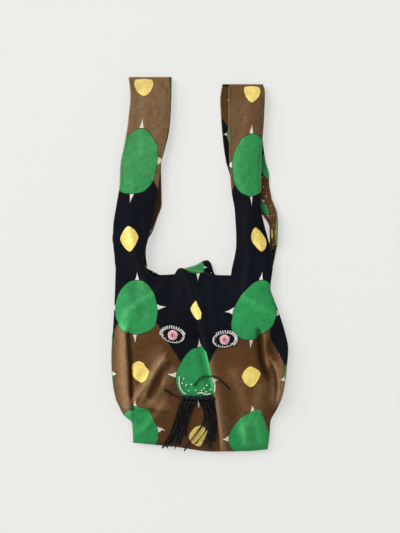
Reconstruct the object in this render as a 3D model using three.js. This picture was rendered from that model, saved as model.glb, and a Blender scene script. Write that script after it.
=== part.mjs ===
// Fabric pouch bag with a loop strap at each side, lined, with a sewn-on animal face, lying on its back.
// Millimetres. X runs across the bag, Y towards the strap tops, Z up out of the front. The floor is Z = 0.

import * as THREE from "three";
import { ParametricGeometry } from "three/addons/geometries/ParametricGeometry.js";
import { mergeVertices } from "three/addons/utils/BufferGeometryUtils.js";

// Cloth
const shellThickness = 1.5;
const liningThickness = 1.0;
const stitchGap = 0.3;

// Body, laid flat and filled out by its own folds
const bodyWidth = 316;
const bodyLength = 314;
const bodyHeight = 34;
const mouthHeight = 21;
const creaseHeight = 23;
const baseHeight = 15;
const sideSeamHeight = 11;
const bottomSeamHeight = 7;
const mouthSag = 12;
const baseSag = 16;

// Straps, each a loop of a front leg and a back leg that meet at the top
const strapLength = 346;
const strapWidth = 72;
const strapSpacing = 178;
const strapStagger = 13;
const loopOpening = 7;
const frontStrapCrown = 3;

// Sewn-on face
const eyeSpacing = 92;
const eyeDrop = 122;
const eyeStagger = 8;
const eyeRingLength = 41;
const eyeRingWidth = 26;
const eyeBeadDiameter = 3.4;
const eyeBeadCount = 14;
const leftEyeTilt = -14;
const rightEyeTilt = 7;
const eyePatchThickness = 1.0;
const roseDiameter = 18;
const roseHeight = 6;
const beadDiameter = 3.2;
const cordWidth = 2.4;

// Goatee: a roll sewn across below the muzzle, with flat laces hanging out of it
const rollLength = 60;
const rollWidth = 7;
const rollHeight = 8;
const rollDrop = 230;
const rollOffset = -2;
const laceWidth = 3.4;
const laceGap = 0.3;

const liningDepth = shellThickness + stitchGap;
const plyThickness = liningDepth + liningThickness;
const floorHeight = 0;
const legTop = 2 * plyThickness + loopOpening;
const halfWidth = bodyWidth / 2;

// A smooth curve through rows of [place, value], with no overshoot between them.
function curve(rows) {
  const at = rows.map((row) => row[0]);
  const value = rows.map((row) => row[1]);
  const rise = at.slice(1).map((next, i) => (value[i + 1] - value[i]) / (next - at[i]));
  const slope = at.map((_, i) => {
    if (i === 0) return rise[0];
    if (i === rise.length) return rise[i - 1];
    const [before, after] = [rise[i - 1], rise[i]];
    return before * after <= 0 ? 0 : (2 * before * after) / (before + after);
  });
  return (place) => {
    const x = THREE.MathUtils.clamp(place, at[0], at[at.length - 1]);
    const i = Math.max(0, Math.min(rise.length - 1, at.findIndex((next) => next > x) - 1));
    const j = x >= at[at.length - 1] ? rise.length - 1 : i;
    const span = at[j + 1] - at[j];
    const t = (x - at[j]) / span;
    const [t2, t3] = [t * t, t * t * t];
    return (
      (2 * t3 - 3 * t2 + 1) * value[j] +
      (t3 - 2 * t2 + t) * span * slope[j] +
      (3 * t2 - 2 * t3) * value[j + 1] +
      (t3 - t2) * span * slope[j + 1]
    );
  };
}

const { lerp, smoothstep, degToRad } = THREE.MathUtils;

// Creases and ridges pressed into the front: [x, y] points, how far each reaches and how far it rises.
const folds = [
  {
    name: "centre pleat",
    path: [[-28, -4], [-10, -33], [-1, -47], [6, -101], [18, -157], [30, -227], [37, -290], [40, -326]],
    reach: 9,
    rise: 4.5,
  },
  {
    name: "left edge ridge",
    path: [[-130, -87], [-130, -125], [-129, -182], [-123, -242]],
    reach: 8,
    rise: 3,
  },
  {
    name: "left edge valley",
    path: [[-114, -187], [-113, -227], [-112, -260]],
    reach: 8,
    rise: -3.5,
  },
  {
    name: "upper slant",
    path: [[-66, -168], [-89, -200], [-107, -222], [-120, -238]],
    reach: 9,
    rise: 4.5,
  },
  {
    name: "lower slant",
    path: [[-48, -182], [-66, -214], [-84, -238]],
    reach: 9,
    rise: 3.5,
  },
  {
    name: "corner crease",
    path: [[-116, -254], [-84, -252]],
    reach: 7,
    rise: -2.5,
  },
  {
    name: "right groove",
    path: [[108, -125], [110, -146], [114, -168], [122, -188]],
    reach: 8,
    rise: -4.5,
  },
  {
    name: "right ridge",
    path: [[126, -164], [133, -180], [138, -204], [136, -232]],
    reach: 8,
    rise: 3.5,
  },
  {
    name: "base ridge",
    path: [[76, -278], [84, -312]],
    reach: 9,
    rise: 2.5,
  },
  {
    name: "left strap fold",
    path: [[-128, 68], [-118, 18], [-96, -32]],
    reach: 11,
    rise: 2.5,
  },
  {
    name: "right strap fold",
    path: [[84, 78], [88, 8], [78, -42]],
    reach: 11,
    rise: 2.5,
  },
];

// Distance from a point to a line of points.
function distanceToPath(x, y, path) {
  let nearest = Infinity;
  for (let i = 1; i < path.length; i += 1) {
    const [ax, ay] = path[i - 1];
    const [bx, by] = [path[i][0] - ax, path[i][1] - ay];
    const t = THREE.MathUtils.clamp(((x - ax) * bx + (y - ay) * by) / (bx * bx + by * by), 0, 1);
    nearest = Math.min(nearest, Math.hypot(x - ax - t * bx, y - ay - t * by));
  }
  return nearest;
}

function foldRise(x, y) {
  return folds.reduce((sum, fold) => {
    const away = distanceToPath(x, y, fold.path) / fold.reach;
    return sum + fold.rise * Math.exp(-away * away);
  }, 0);
}

// Side outlines of the body: share of the way down, and how far the edge lies inside half the width.
const leftInset = curve([
  [0, 8], [0.18, 6], [0.36, 3], [0.52, 1], [0.64, 3], [0.73, 8], [0.79, 14], [0.84, 22],
  [0.885, 37], [0.94, 38.5], [1, 39],
]);
const rightInset = curve([
  [0, 25], [0.11, 29], [0.18, 22], [0.26, 13], [0.35, 4], [0.46, -3], [0.56, -1], [0.64, 2],
  [0.72, 7], [0.79, 17], [0.86, 29], [0.94, 31], [1, 34],
]);
const crownAlong = curve([
  [0, mouthHeight], [0.35, bodyHeight], [0.62, bodyHeight], [0.86, creaseHeight], [1, baseHeight],
]);
const seamAlong = (down) => lerp(sideSeamHeight, bottomSeamHeight, down);

// Above the top of the side seams the two panels part, up to the height of the front leg.
const parting = curve([[0, 1], [0.13, 0], [1, 0]]);
const baseLine = curve([[0, 0], [0.3, -0.45], [0.6, -1], [0.85, -0.95], [1, -0.75]]);

// Mouth edges: share of the way across between the straps, and height above the mouth line.
const frontMouth = curve([
  [0, 12], [0.06, 1], [0.1, -2], [0.3, -2], [0.33, 3], [0.37, 12], [0.4, 13.5], [0.63, 8],
  [0.78, 0], [0.975, -3], [1, 3],
]);
const backMouth = curve([
  [0, 12], [0.08, 6], [0.15, 1], [0.36, 3], [0.43, 12], [0.58, 19], [0.65, 25], [0.7, 27],
  [0.735, 24], [0.76, 15], [0.79, 1], [1, 0],
]);

// One strap leg: along it from base (0) to top (1), how far its middle drifts out from the strap's own line
// and how much wider or narrower than the cloth it lies.
const legs = {
  frontLeft: {
    middle: curve([
      [0, -33.4], [0.05, -36.5], [0.1, -36], [0.15, -34.3], [0.2, -32], [0.26, -28.5], [0.35, -23],
      [0.42, -19], [0.54, -16], [0.64, -8.6], [0.77, -1], [0.9, 1.5], [1, -0.4],
    ]),
    widen: curve([
      [0, -16], [0.05, -19], [0.1, -14.5], [0.15, -9], [0.2, -4.5], [0.26, -1], [0.42, -1],
      [0.64, 2.7], [0.77, 2.7], [0.9, 0], [1, 1.8],
    ]),
    crown: frontStrapCrown,
  },
  backLeft: {
    middle: curve([
      [0, -36], [0.07, -36.3], [0.14, -37.9], [0.2, -30.7], [0.26, -23.5], [0.34, -14.5],
      [0.54, -15.4], [0.62, -9], [0.72, -1], [0.8, 1.7], [0.95, 3.5], [1, 3.5],
    ]),
    widen: curve([[0, -14], [0.07, -18], [0.14, -9], [0.2, 0], [1, 0]]),
    crown: 0,
  },
  frontRight: {
    middle: curve([
      [0, 6.4], [0.1, 8.6], [0.17, 6], [0.25, 2], [0.32, -1], [0.42, -3.7], [0.58, -5.2],
      [0.7, -4.7], [0.8, -4], [0.95, -3.1], [1, -4],
    ]),
    widen: curve([
      [0, 2], [0.1, -8], [0.17, -15.3], [0.25, -21], [0.32, -24], [0.42, -18.5], [0.58, -14],
      [0.7, -11.5], [0.8, -8], [0.95, -6.2], [1, -10],
    ]),
    crown: 2 * frontStrapCrown,
  },
  backRight: {
    middle: curve([
      [0, 8], [0.08, 30], [0.14, 46], [0.22, 46], [0.3, 38], [0.38, 18], [0.46, 6], [0.53, 1],
      [0.58, -4], [0.68, -9], [0.8, -12.5], [0.92, -14.5], [1, -11],
    ]),
    widen: curve([
      [0, 2], [0.08, -32], [0.14, -58], [0.22, -57], [0.3, -44], [0.38, -22], [0.46, -8],
      [0.53, 0], [1, 0],
    ]),
    crown: 0,
    edgeLift: curve([[0, 0], [0.1, 4], [0.18, 12], [0.26, 12], [0.36, 4], [0.46, 0], [1, 0]]),
  },
};

const strapRadius = legTop / 2;
const strapLine = strapSpacing / 2;
const strapRows = 13;
const foldRows = 3;
const settleRows = 6;
const settleDown = 0.3;
const rowCrowding = 1.25;

// A point on a strap leg: across it from left (0) to right (1), along it in rows up to the fold over the top.
function legPoint(leg, side, isFront, across, row) {
  const topLevel = strapLength - (side > 0 ? strapStagger : 0);
  const straight = topLevel - strapRadius;
  const isFold = row > strapRows;
  const along = isFold ? 1 : (row / strapRows) * (straight / topLevel);
  const turn = isFold ? ((row - strapRows) / foldRows) * (Math.PI / 2) : 0;
  const middle = side * strapLine + leg.middle(along);
  const width = strapWidth + leg.widen(along);
  const x = middle + (across - 0.5) * width;
  if (isFold) {
    const seam = stitchGap / 2;
    const level = strapRadius + (isFront ? 1 : -1) * (seam + (strapRadius - seam) * Math.cos(turn));
    return new THREE.Vector3(x, straight + strapRadius * Math.sin(turn), level);
  }
  const y = along * topLevel;
  const bow = leg.crown * (1 - (2 * across - 1) ** 2) * smoothstep(1 - along, 0.02, 0.2);
  const lift = leg.edgeLift ? leg.edgeLift(along) * across ** 2 : 0;
  return new THREE.Vector3(x, y, isFront ? legTop + bow + foldRise(x, y) : floorHeight + lift);
}

// A cloth panel as a grid: the body's rows run down from the mouth, and a leg's rows run up at each side.
function buildPanel(panel) {
  const { isFront, shares, leftColumns, rightColumns, bodyRows, mouth, leftLeg, rightLeg, bodyPoint } = panel;
  const columns = shares.length - 1;
  const points = [];
  const quads = [];
  const seams = new Map();
  const add = (point) => points.push(point) - 1;

  // The row along the mouth line: the base of each leg, and the mouth edge between them.
  const leftBase = [0, 1].map((across) => legPoint(leftLeg, -1, isFront, across, 0));
  const rightBase = [0, 1].map((across) => legPoint(rightLeg, 1, isFront, across, 0));
  const topRow = shares.map((_, i) => {
    if (i <= leftColumns) return { x: lerp(leftBase[0].x, leftBase[1].x, i / leftColumns), y: 0 };
    const fromRight = columns - i;
    if (fromRight <= rightColumns) {
      const across = 1 - fromRight / rightColumns;
      return { x: lerp(rightBase[0].x, rightBase[1].x, across), y: 0 };
    }
    const share = (i - leftColumns) / (columns - leftColumns - rightColumns);
    return { x: lerp(leftBase[1].x, rightBase[0].x, share), y: mouth(share) - mouthSag };
  });

  const grid = [];
  for (let row = 0; row <= bodyRows; row += 1) {
    const down = 1 - (1 - row / bodyRows) ** rowCrowding;
    const line = shares.map((share, i) => {
      const left = -halfWidth + leftInset(down);
      const right = halfWidth - rightInset(down);
      const topShare = (topRow[i].x - topRow[0].x) / (topRow[columns].x - topRow[0].x);
      const settled = lerp(topShare, share, smoothstep(down, 0, settleDown));
      const x = lerp(left, right, settled);
      const fromTop = topRow[i].y * (1 - down) ** 3;
      const y = -down * bodyLength + fromTop + baseLine(settled) * baseSag * down ** 4;
      return add(bodyPoint(x, y, settled, down));
    });
    grid.push(line);
    if (row > 0) {
      const above = grid[row - 1];
      for (let i = 0; i < columns; i += 1) quads.push([above[i], line[i], line[i + 1], above[i + 1]]);
    }
  }
  grid.forEach((line, row) => {
    const outward = row === bodyRows ? -1 : 0;
    seams.set(line[0], new THREE.Vector3(-1, outward, 0).normalize());
    seams.set(line[columns], new THREE.Vector3(1, outward, 0).normalize());
  });
  grid[bodyRows].slice(1, -1).forEach((corner) => seams.set(corner, new THREE.Vector3(0, -1, 0)));

  const addLeg = (leg, side, first, count) => {
    let below = grid[0].slice(first, first + count + 1);
    const base = below.map((corner) => points[corner].clone());
    for (let row = 1; row <= strapRows + foldRows; row += 1) {
      const settle = Math.max(0, 1 - row / settleRows) ** 2;
      const line = base.map((start, i) => {
        const across = i / count;
        const point = legPoint(leg, side, isFront, across, row);
        const drift = start.clone().sub(legPoint(leg, side, isFront, across, 0));
        return add(point.addScaledVector(drift, settle));
      });
      for (let i = 0; i < count; i += 1) quads.push([line[i], below[i], below[i + 1], line[i + 1]]);
      below = line;
    }
    below.forEach((corner) => seams.set(corner, new THREE.Vector3(0, 1, 0)));
  };
  addLeg(leftLeg, -1, 0, leftColumns);
  addLeg(rightLeg, 1, columns - rightColumns, rightColumns);

  const faces = isFront ? quads : quads.map((quad) => [...quad].reverse());
  return { points, faces, normals: panelNormals(points, faces, seams) };
}

function panelNormals(points, faces, seams) {
  const geometry = new THREE.BufferGeometry().setFromPoints(points);
  geometry.setIndex(faces.flatMap(([a, b, c, d]) => [a, b, c, a, c, d]));
  geometry.computeVertexNormals();
  const normal = geometry.getAttribute("normal");
  return points.map((_, i) => seams.get(i) ?? new THREE.Vector3().fromBufferAttribute(normal, i));
}

// A closed layer of cloth between two depths below the outside of a panel.
function clothLayer(panel, outer, inner) {
  const { points, faces, normals } = panel;
  const count = points.length;
  const shifted = (depth) => points.map((point, i) => point.clone().addScaledVector(normals[i], -depth));
  const index = [];
  const edges = new Map();
  for (const [a, b, c, d] of faces) {
    index.push(a, b, c, a, c, d);
    index.push(a + count, c + count, b + count, a + count, d + count, c + count);
    for (const [from, to] of [[a, b], [b, c], [c, d], [d, a]]) {
      const back = `${to},${from}`;
      if (edges.has(back)) edges.delete(back);
      else edges.set(`${from},${to}`, [from, to]);
    }
  }
  for (const [from, to] of edges.values()) index.push(from, from + count, to + count, from, to + count, to);
  const geometry = new THREE.BufferGeometry().setFromPoints([...shifted(outer), ...shifted(inner)]);
  geometry.setIndex(index);
  geometry.computeVertexNormals();
  return geometry;
}

// Column places across the body: close together where the cloth turns down to the side seams.
function columnShares(edge, middleColumns) {
  const first = edge[edge.length - 1];
  const steps = Array.from({ length: middleColumns - 1 }, (_, i) => (i + 1) / middleColumns);
  const middle = steps.map((step) => lerp(first, 1 - first, step));
  return [...edge, ...middle, ...[...edge].reverse().map((share) => 1 - share)];
}

// The front stands up as a low pillow between its seams, and turns down to the base over a short share of it.
const baseTurn = 0.05;
function frontPoint(x, y, share, down) {
  const across = Math.sqrt(Math.max(0, 1 - Math.abs(2 * share - 1) ** 4));
  const turn = Math.max(0, (down - 1 + baseTurn) / baseTurn);
  const along = Math.sqrt(Math.max(0, 1 - turn * turn));
  const seam = lerp(seamAlong(down) + stitchGap / 2, legTop, parting(down));
  const pressed = foldRise(x, y) * across * along;
  return new THREE.Vector3(x, y, seam + (crownAlong(down) - seam) * across * along + pressed);
}

// The back lies on the floor and turns up to the seams, tightly at first and in a slack roll past the front
// at the lower left.
const tightRoll = { reach: 9, start: degToRad(75) };
const slackRoll = { reach: 15, start: degToRad(40) };
const rightSlack = 0.3;
const rollOut = curve([[0, 0], [0.3, 0.1], [0.4, 1], [0.75, 1], [0.83, 0.2], [1, 0]]);
const peakBulge = { x: 8, y: -4, reach: 20, rise: 6 };

function rollAt(away, slack) {
  const reach = lerp(tightRoll.reach, slackRoll.reach, slack);
  const start = lerp(tightRoll.start, slackRoll.start, slack);
  const turn = start + (Math.PI - start) * Math.min(1, away / reach);
  const height = (1 + Math.cos(turn)) / (1 + Math.cos(start));
  return { height, out: reach * Math.max(0, Math.sin(turn) - Math.sin(start)) };
}

function backPoint(x, y, share, down) {
  const fromSide = Math.min(share, 1 - share) * bodyWidth;
  const fromBase = (1 - down) * bodyLength;
  const side = rollAt(fromSide, (share < 0.5 ? 1 : rightSlack) * rollOut(down));
  const base = rollAt(fromBase, 0);
  const seam = lerp(seamAlong(down) - stitchGap / 2, plyThickness, parting(down));
  const away = Math.hypot(x - peakBulge.x, y - peakBulge.y) / peakBulge.reach;
  const peak = peakBulge.rise * Math.exp(-away * away);
  const rise = Math.max(side.height, base.height);
  const direction = share < 0.5 ? -1 : 1;
  return new THREE.Vector3(x + direction * side.out, y, floorHeight + seam * rise + peak);
}

const frontPanel = buildPanel({
  isFront: true,
  shares: columnShares([0, 0.014, 0.04, 0.08], 18),
  leftColumns: 5,
  rightColumns: 6,
  bodyRows: 24,
  mouth: frontMouth,
  leftLeg: legs.frontLeft,
  rightLeg: legs.frontRight,
  bodyPoint: frontPoint,
});
const backPanel = buildPanel({
  isFront: false,
  shares: columnShares([0, 0.012, 0.025, 0.05], 11),
  leftColumns: 4,
  rightColumns: 4,
  bodyRows: 15,
  mouth: backMouth,
  leftLeg: legs.backLeft,
  rightLeg: legs.backRight,
  bodyPoint: backPoint,
});

// Finishes
function finish(color, roughness, metalness = 0) {
  return new THREE.MeshStandardMaterial({ color, roughness, metalness });
}
const printedCotton = finish(0x5a452d, 0.8);
const liningCotton = finish(0x37533b, 0.85);
const blackFelt = finish(0x0c0c0e, 0.95);
const silverBeads = finish(0xdedcd6, 0.3, 0.2);
const pinkResin = finish(0xe39aa6, 0.35);
const whiteBeads = finish(0xf3efe4, 0.35);
const whiteCord = finish(0xeeeadf, 0.7);
const blackLeather = finish(0x14151b, 0.45);

const bag = new THREE.Group();

function addMesh(parent, name, geometry, material) {
  const mesh = new THREE.Mesh(geometry, material);
  mesh.name = name;
  parent.add(mesh);
  mesh.updateWorldMatrix(true, false);
  return mesh;
}

const outerFront = addMesh(bag, "outer_front", clothLayer(frontPanel, 0, shellThickness), printedCotton);
addMesh(bag, "lining_front", clothLayer(frontPanel, liningDepth, plyThickness), liningCotton);
addMesh(bag, "outer_back", clothLayer(backPanel, 0, shellThickness), printedCotton);
addMesh(bag, "lining_back", clothLayer(backPanel, liningDepth, plyThickness), liningCotton);

// The front's outside above a point, or null where there is no cloth.
const probe = new THREE.Raycaster();
const probeHeight = 10 * bodyHeight;
const downwards = new THREE.Vector3(0, 0, -1);
function clothAt(x, y) {
  probe.set(new THREE.Vector3(x, y, probeHeight), downwards);
  const [hit] = probe.intersectObject(outerFront);
  return hit ? hit.point.z : null;
}

// The highest cloth under a round thing of one thickness.
function clothUnder(x, y, thickness) {
  const reach = thickness / 2;
  const places = [[0, 0], [reach, 0], [-reach, 0], [0, thickness], [0, -thickness]];
  const heights = places.map(([dx, dy]) => clothAt(x + dx, y + dy)).filter((height) => height !== null);
  return heights.length > 0 ? Math.max(...heights) : null;
}

// Beads in a row round a closed curve, as one ring that narrows to a waist between each bead and the next.
const beadWaist = 0.55;
function beadRing(path, beadSize, beadCount) {
  const [steps, sides] = [3 * beadCount, 6];
  const ringPoint = (u, v, target) => {
    const swell = Math.abs(Math.sin(Math.PI * beadCount * u));
    const radius = (beadSize / 2) * lerp(beadWaist, 1, swell);
    const centre = path.getPoint(u % 1);
    const tangent = path.getTangent(u % 1);
    const side = new THREE.Vector3(-tangent.y, tangent.x, 0).normalize();
    const up = new THREE.Vector3().crossVectors(side, tangent).normalize();
    const turn = 2 * Math.PI * v;
    target.copy(centre);
    target.addScaledVector(side, radius * Math.cos(turn));
    target.addScaledVector(up, radius * Math.sin(turn));
  };
  return weld(new ParametricGeometry(ringPoint, steps, sides));
}

// Merge a geometry's shared points and drop the faces that this closes up.
function weld(geometry) {
  const bare = new THREE.BufferGeometry();
  bare.setAttribute("position", geometry.getAttribute("position"));
  bare.setIndex(geometry.getIndex());
  const merged = mergeVertices(bare, 1e-3);
  const corners = Array.from(merged.getIndex().array);
  const kept = [];
  for (let i = 0; i < corners.length; i += 3) {
    const [a, b, c] = corners.slice(i, i + 3);
    if (a !== b && b !== c && c !== a) kept.push(a, b, c);
  }
  merged.setIndex(kept);
  merged.computeVertexNormals();
  return merged;
}

// Eyes: a felt almond, a ring of beads round it and a resin rose on it, on the tilt of the cloth below.
function almondShape(length, width) {
  const shape = new THREE.Shape();
  shape.moveTo(-length / 2, 0);
  shape.quadraticCurveTo(0, width, length / 2, 0);
  shape.quadraticCurveTo(0, -width, -length / 2, 0);
  return shape;
}

function roseGeometry() {
  const radius = roseDiameter / 2;
  const profile = [
    [0, 0],
    [0.82 * radius, 0],
    [radius, 0.25 * roseHeight],
    [0.92 * radius, 0.6 * roseHeight],
    [0.62 * radius, 0.92 * roseHeight],
    [0.3 * radius, roseHeight],
    [0, 0.8 * roseHeight],
  ].map(([x, y]) => new THREE.Vector2(x, y));
  return new THREE.LatheGeometry(profile, 16).rotateX(Math.PI / 2);
}

function addEye(name, x, y, tilt) {
  const reachX = eyeRingLength / 2;
  const reachY = eyeRingWidth / 2;
  const slopeX = (clothAt(x + reachX, y) - clothAt(x - reachX, y)) / eyeRingLength;
  const slopeY = (clothAt(x, y + reachY) - clothAt(x, y - reachY)) / eyeRingWidth;
  const outward = new THREE.Vector3(-slopeX, -slopeY, 1).normalize();
  const planeAt = (px, py) => slopeX * (px - x) + slopeY * (py - y);
  const samples = 6;
  let highest = -Infinity;
  for (let i = -samples; i <= samples; i += 1) {
    for (let j = -samples; j <= samples; j += 1) {
      if (Math.hypot(i, j) > samples + 1) continue;
      const px = x + (i / samples) * (reachX + eyeBeadDiameter / 2);
      const py = y + (j / samples) * (reachY + eyeBeadDiameter / 2);
      highest = Math.max(highest, clothAt(px, py) - planeAt(px, py));
    }
  }
  const eye = new THREE.Group();
  eye.position.set(x, y, highest + stitchGap);
  eye.quaternion.setFromUnitVectors(new THREE.Vector3(0, 0, 1), outward);
  eye.rotateZ(degToRad(tilt));
  bag.add(eye);

  const insideRing = eyeBeadDiameter + 2 * stitchGap;
  const almond = almondShape(eyeRingLength - insideRing, eyeRingWidth - insideRing);
  const feltShape = { depth: eyePatchThickness, bevelEnabled: false, curveSegments: 7 };
  const patch = new THREE.ExtrudeGeometry(almond, feltShape);
  addMesh(eye, `eye_patch_${name}`, patch, blackFelt);

  const ringPath = new THREE.CatmullRomCurve3(
    Array.from({ length: 16 }, (_, i) => {
      const turn = (i / 16) * 2 * Math.PI;
      return new THREE.Vector3(reachX * Math.cos(turn), reachY * Math.sin(turn), eyeBeadDiameter / 2);
    }),
    true,
  );
  addMesh(eye, `eye_bead_ring_${name}`, beadRing(ringPath, eyeBeadDiameter, eyeBeadCount), silverBeads);

  const rose = addMesh(eye, `eye_rose_${name}`, roseGeometry(), pinkResin);
  rose.position.z = eyePatchThickness + stitchGap;
}
addEye("left", -eyeSpacing / 2, -eyeDrop + eyeStagger / 2, leftEyeTilt);
addEye("right", eyeSpacing / 2, -eyeDrop - eyeStagger / 2, rightEyeTilt);

// Beads of the muzzle, from the middle of the goatee's roll.
const rollX = rollOffset;
const rollY = -rollDrop;
const muzzleBeads = [
  [-24.5, 34], [-27, 26], [-20, 23], [-11, 24], [-15.5, 12.5], [-3.5, 13.5],
  [16.5, 22.5], [12, 17], [7.5, 13.5], [23.5, 14.5], [15.5, 10.6],
];
muzzleBeads.forEach(([dx, dy], i) => {
  const bead = new THREE.SphereGeometry(beadDiameter / 2, 8, 5);
  const [x, y] = [rollX + dx, rollY + dy];
  const mesh = addMesh(bag, `muzzle_bead_${i + 1}`, weld(bead), whiteBeads);
  mesh.position.set(x, y, clothAt(x, y) + beadDiameter / 2 + stitchGap);
});

// A smooth curve on the cloth through [dx, dy, layer] places from the roll's middle.
const pathSteps = 14;
const cordSteps = 10;
function layOnCloth(places, thickness) {
  const flat = new THREE.CatmullRomCurve3(
    places.map(([dx, dy, layer]) => new THREE.Vector3(rollX + dx, rollY + dy, layer)),
  );
  const points = [];
  let rest = bodyHeight;
  for (let i = 0; i <= pathSteps; i += 1) {
    const place = flat.getPointAt(i / pathSteps);
    rest = clothUnder(place.x, place.y, thickness) ?? rest;
    const height = rest + laceGap + thickness / 2 + (place.z - 1) * (thickness + laceGap);
    points.push(new THREE.Vector3(place.x, place.y, height));
  }
  return new THREE.CatmullRomCurve3(points);
}

function cordGeometry(path, thickness) {
  const section = new THREE.Shape();
  const sides = 8;
  for (let i = 0; i < sides; i += 1) {
    const turn = ((i + 0.5) / sides) * 2 * Math.PI;
    const corner = [(thickness / 2) * Math.cos(turn), (thickness / 2) * Math.sin(turn)];
    if (i === 0) section.moveTo(...corner);
    else section.lineTo(...corner);
  }
  return new THREE.ExtrudeGeometry(section, { extrudePath: path, steps: cordSteps, bevelEnabled: false });
}

const muzzleCords = {
  muzzle_cord_left: [[-33, 38, 1], [-33, 27, 1], [-30.5, 17, 1], [-26, 10, 1], [-21, 6.6, 1]],
  muzzle_cord_right: [[27, 35, 1], [29.6, 28, 1], [30.5, 19, 1], [29.5, 11, 1]],
  muzzle_cord_lower: [[-1, 7.6, 1], [7, 9.2, 1], [14, 5.8, 1], [23, 7.4, 1]],
};

// The roll itself, bent to the cloth.
const rollSection = new THREE.Shape();
rollSection.absellipse(0, 0, rollWidth / 2, rollHeight / 2, 0, 2 * Math.PI, false);
const rollSteps = 10;
const rollPath = new THREE.CatmullRomCurve3(
  Array.from({ length: rollSteps + 1 }, (_, i) => {
    const x = rollX + rollLength * (i / rollSteps - 0.5);
    const nearby = [-1, 0, 1].map((side) => clothAt(x, rollY + (side * rollWidth) / 2));
    return new THREE.Vector3(x, rollY, Math.max(...nearby) + 2 * stitchGap + rollHeight / 2);
  }),
);
const rollShape = { extrudePath: rollPath, steps: 12, bevelEnabled: false, curveSegments: 3 };
addMesh(bag, "goatee_roll", new THREE.ExtrudeGeometry(rollSection, rollShape), blackLeather);

// Laces of the goatee, from the roll's lower edge. The low ones lie on the cloth, and the top ones on those.
const lowRoot = -rollWidth / 2 - stitchGap;
const topRoot = lowRoot - 2 * laceGap;
const laces = {
  lace_low_1: [
    [-27.9, lowRoot, 1], [-32.4, -14, 1], [-38.7, -36, 1], [-45.9, -58, 1], [-55.8, -78, 1],
    [-63.9, -93, 1],
  ],
  lace_low_2: [
    [-21.2, lowRoot, 1], [-26, -15, 1], [-32.4, -38, 1], [-39.6, -61, 1], [-49.5, -81, 1],
    [-55.8, -93, 1],
  ],
  lace_low_3: [
    [-14.8, lowRoot, 1], [-19.8, -15, 1], [-26.4, -38, 1], [-32.8, -60, 1], [-38.2, -78, 1],
    [-40.5, -94, 1],
  ],
  lace_low_4: [
    [-8.1, lowRoot, 1], [-13.6, -15, 1], [-20.3, -36, 1], [-25.9, -57, 1], [-30.2, -74, 1],
    [-32.8, -88, 1],
  ],
  lace_low_5: [
    [-1.4, lowRoot, 1], [-7, -15, 1], [-14.2, -32, 1], [-19.2, -49, 1], [-21, -61, 1], [-21.6, -70, 1],
  ],
  lace_low_6: [
    [5, lowRoot, 1], [8.4, -14, 1], [11.6, -28, 1], [10.2, -44, 1], [1, -60, 1], [-11.5, -77, 1],
    [-24.6, -98, 1],
  ],
  lace_low_7: [
    [11.7, lowRoot, 1], [15.4, -15, 1], [19.4, -32, 1], [20.4, -50, 1], [16.4, -68, 1], [8.5, -84, 1],
  ],
  lace_low_8: [
    [18.4, lowRoot, 1], [21.8, -15, 1], [25.2, -33, 1], [26, -53, 1], [24.2, -76, 1], [22.8, -97, 1],
  ],
  lace_low_9: [
    [24.8, lowRoot, 1], [28.4, -14, 1], [31.4, -32, 1], [32.4, -50, 1], [31.5, -66, 1], [29.7, -80, 1],
  ],
  lace_top_1: [
    [-24.7, topRoot, 2], [-29.7, -14, 2], [-35.5, -36, 2], [-42.6, -58, 2], [-52, -78, 2],
    [-58.5, -90, 2],
  ],
  lace_top_2: [
    [-18, topRoot, 2], [-22.9, -14, 2], [-29.2, -37, 2], [-36, -60, 2], [-43.4, -78, 2],
    [-47.6, -90, 2],
  ],
  lace_top_3: [
    [-11.3, topRoot, 2], [-16.4, -14, 2], [-23.2, -35, 2], [-29, -55, 2], [-33.4, -72, 2],
    [-34.6, -88, 2],
  ],
  lace_top_4: [
    [-4.9, topRoot, 2], [-10, -14, 2], [-17.2, -32, 2], [-22.6, -48, 2], [-25.4, -62, 2],
    [-25.8, -75, 2],
  ],
  lace_top_5: [
    [1.8, topRoot, 2], [7.6, -15, 2], [14.4, -31, 2], [16.8, -47, 2], [13, -61, 2], [3, -75, 2],
    [-5, -84, 2],
  ],
  lace_top_6: [
    [8.5, topRoot, 2], [13.8, -15, 2], [19.8, -32, 2], [21.6, -50, 2], [18.8, -68, 2], [12, -84, 2],
  ],
  lace_top_7: [
    [14.9, topRoot, 2], [19.6, -15, 2], [24.8, -33, 2], [26.2, -52, 2], [23.6, -72, 2], [18.8, -90, 2],
  ],
  lace_top_8: [
    [21.6, topRoot, 2], [25.4, -15, 2], [29.6, -33, 2], [31, -52, 2], [29.2, -66, 2], [26, -80, 2],
  ],
  lace_stray_left: [[-32.4, 1.5, 1], [-37, 2.4, 1], [-42, 4.5, 1], [-50, 9, 1], [-60, 15.5, 1]],
  lace_stray_over: [
    [-6.5, 21, 1], [-1, 30, 1], [6, 36, 1], [16, 39.5, 1], [30, 39.5, 1], [38, 34, 1], [48, 25, 1],
    [57, 15, 1],
  ],
};

for (const [name, places] of Object.entries(muzzleCords)) {
  addMesh(bag, name, cordGeometry(layOnCloth(places, cordWidth), cordWidth), whiteCord);
}
for (const [name, places] of Object.entries(laces)) {
  addMesh(bag, name, cordGeometry(layOnCloth(places, laceWidth), laceWidth), blackLeather);
}

// Move the origin to the middle of the base of the cloth, strap tops and all.
const cloth = new THREE.Box3();
for (const mesh of bag.children) {
  if (mesh.isMesh && !mesh.name.startsWith("lace")) cloth.expandByObject(mesh, true);
}
const middle = cloth.getCenter(new THREE.Vector3());
bag.position.set(-middle.x, -middle.y, -cloth.min.z);
bag.updateWorldMatrix(true, true);

const model = new THREE.Group();
model.add(bag);
export default model;
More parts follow.
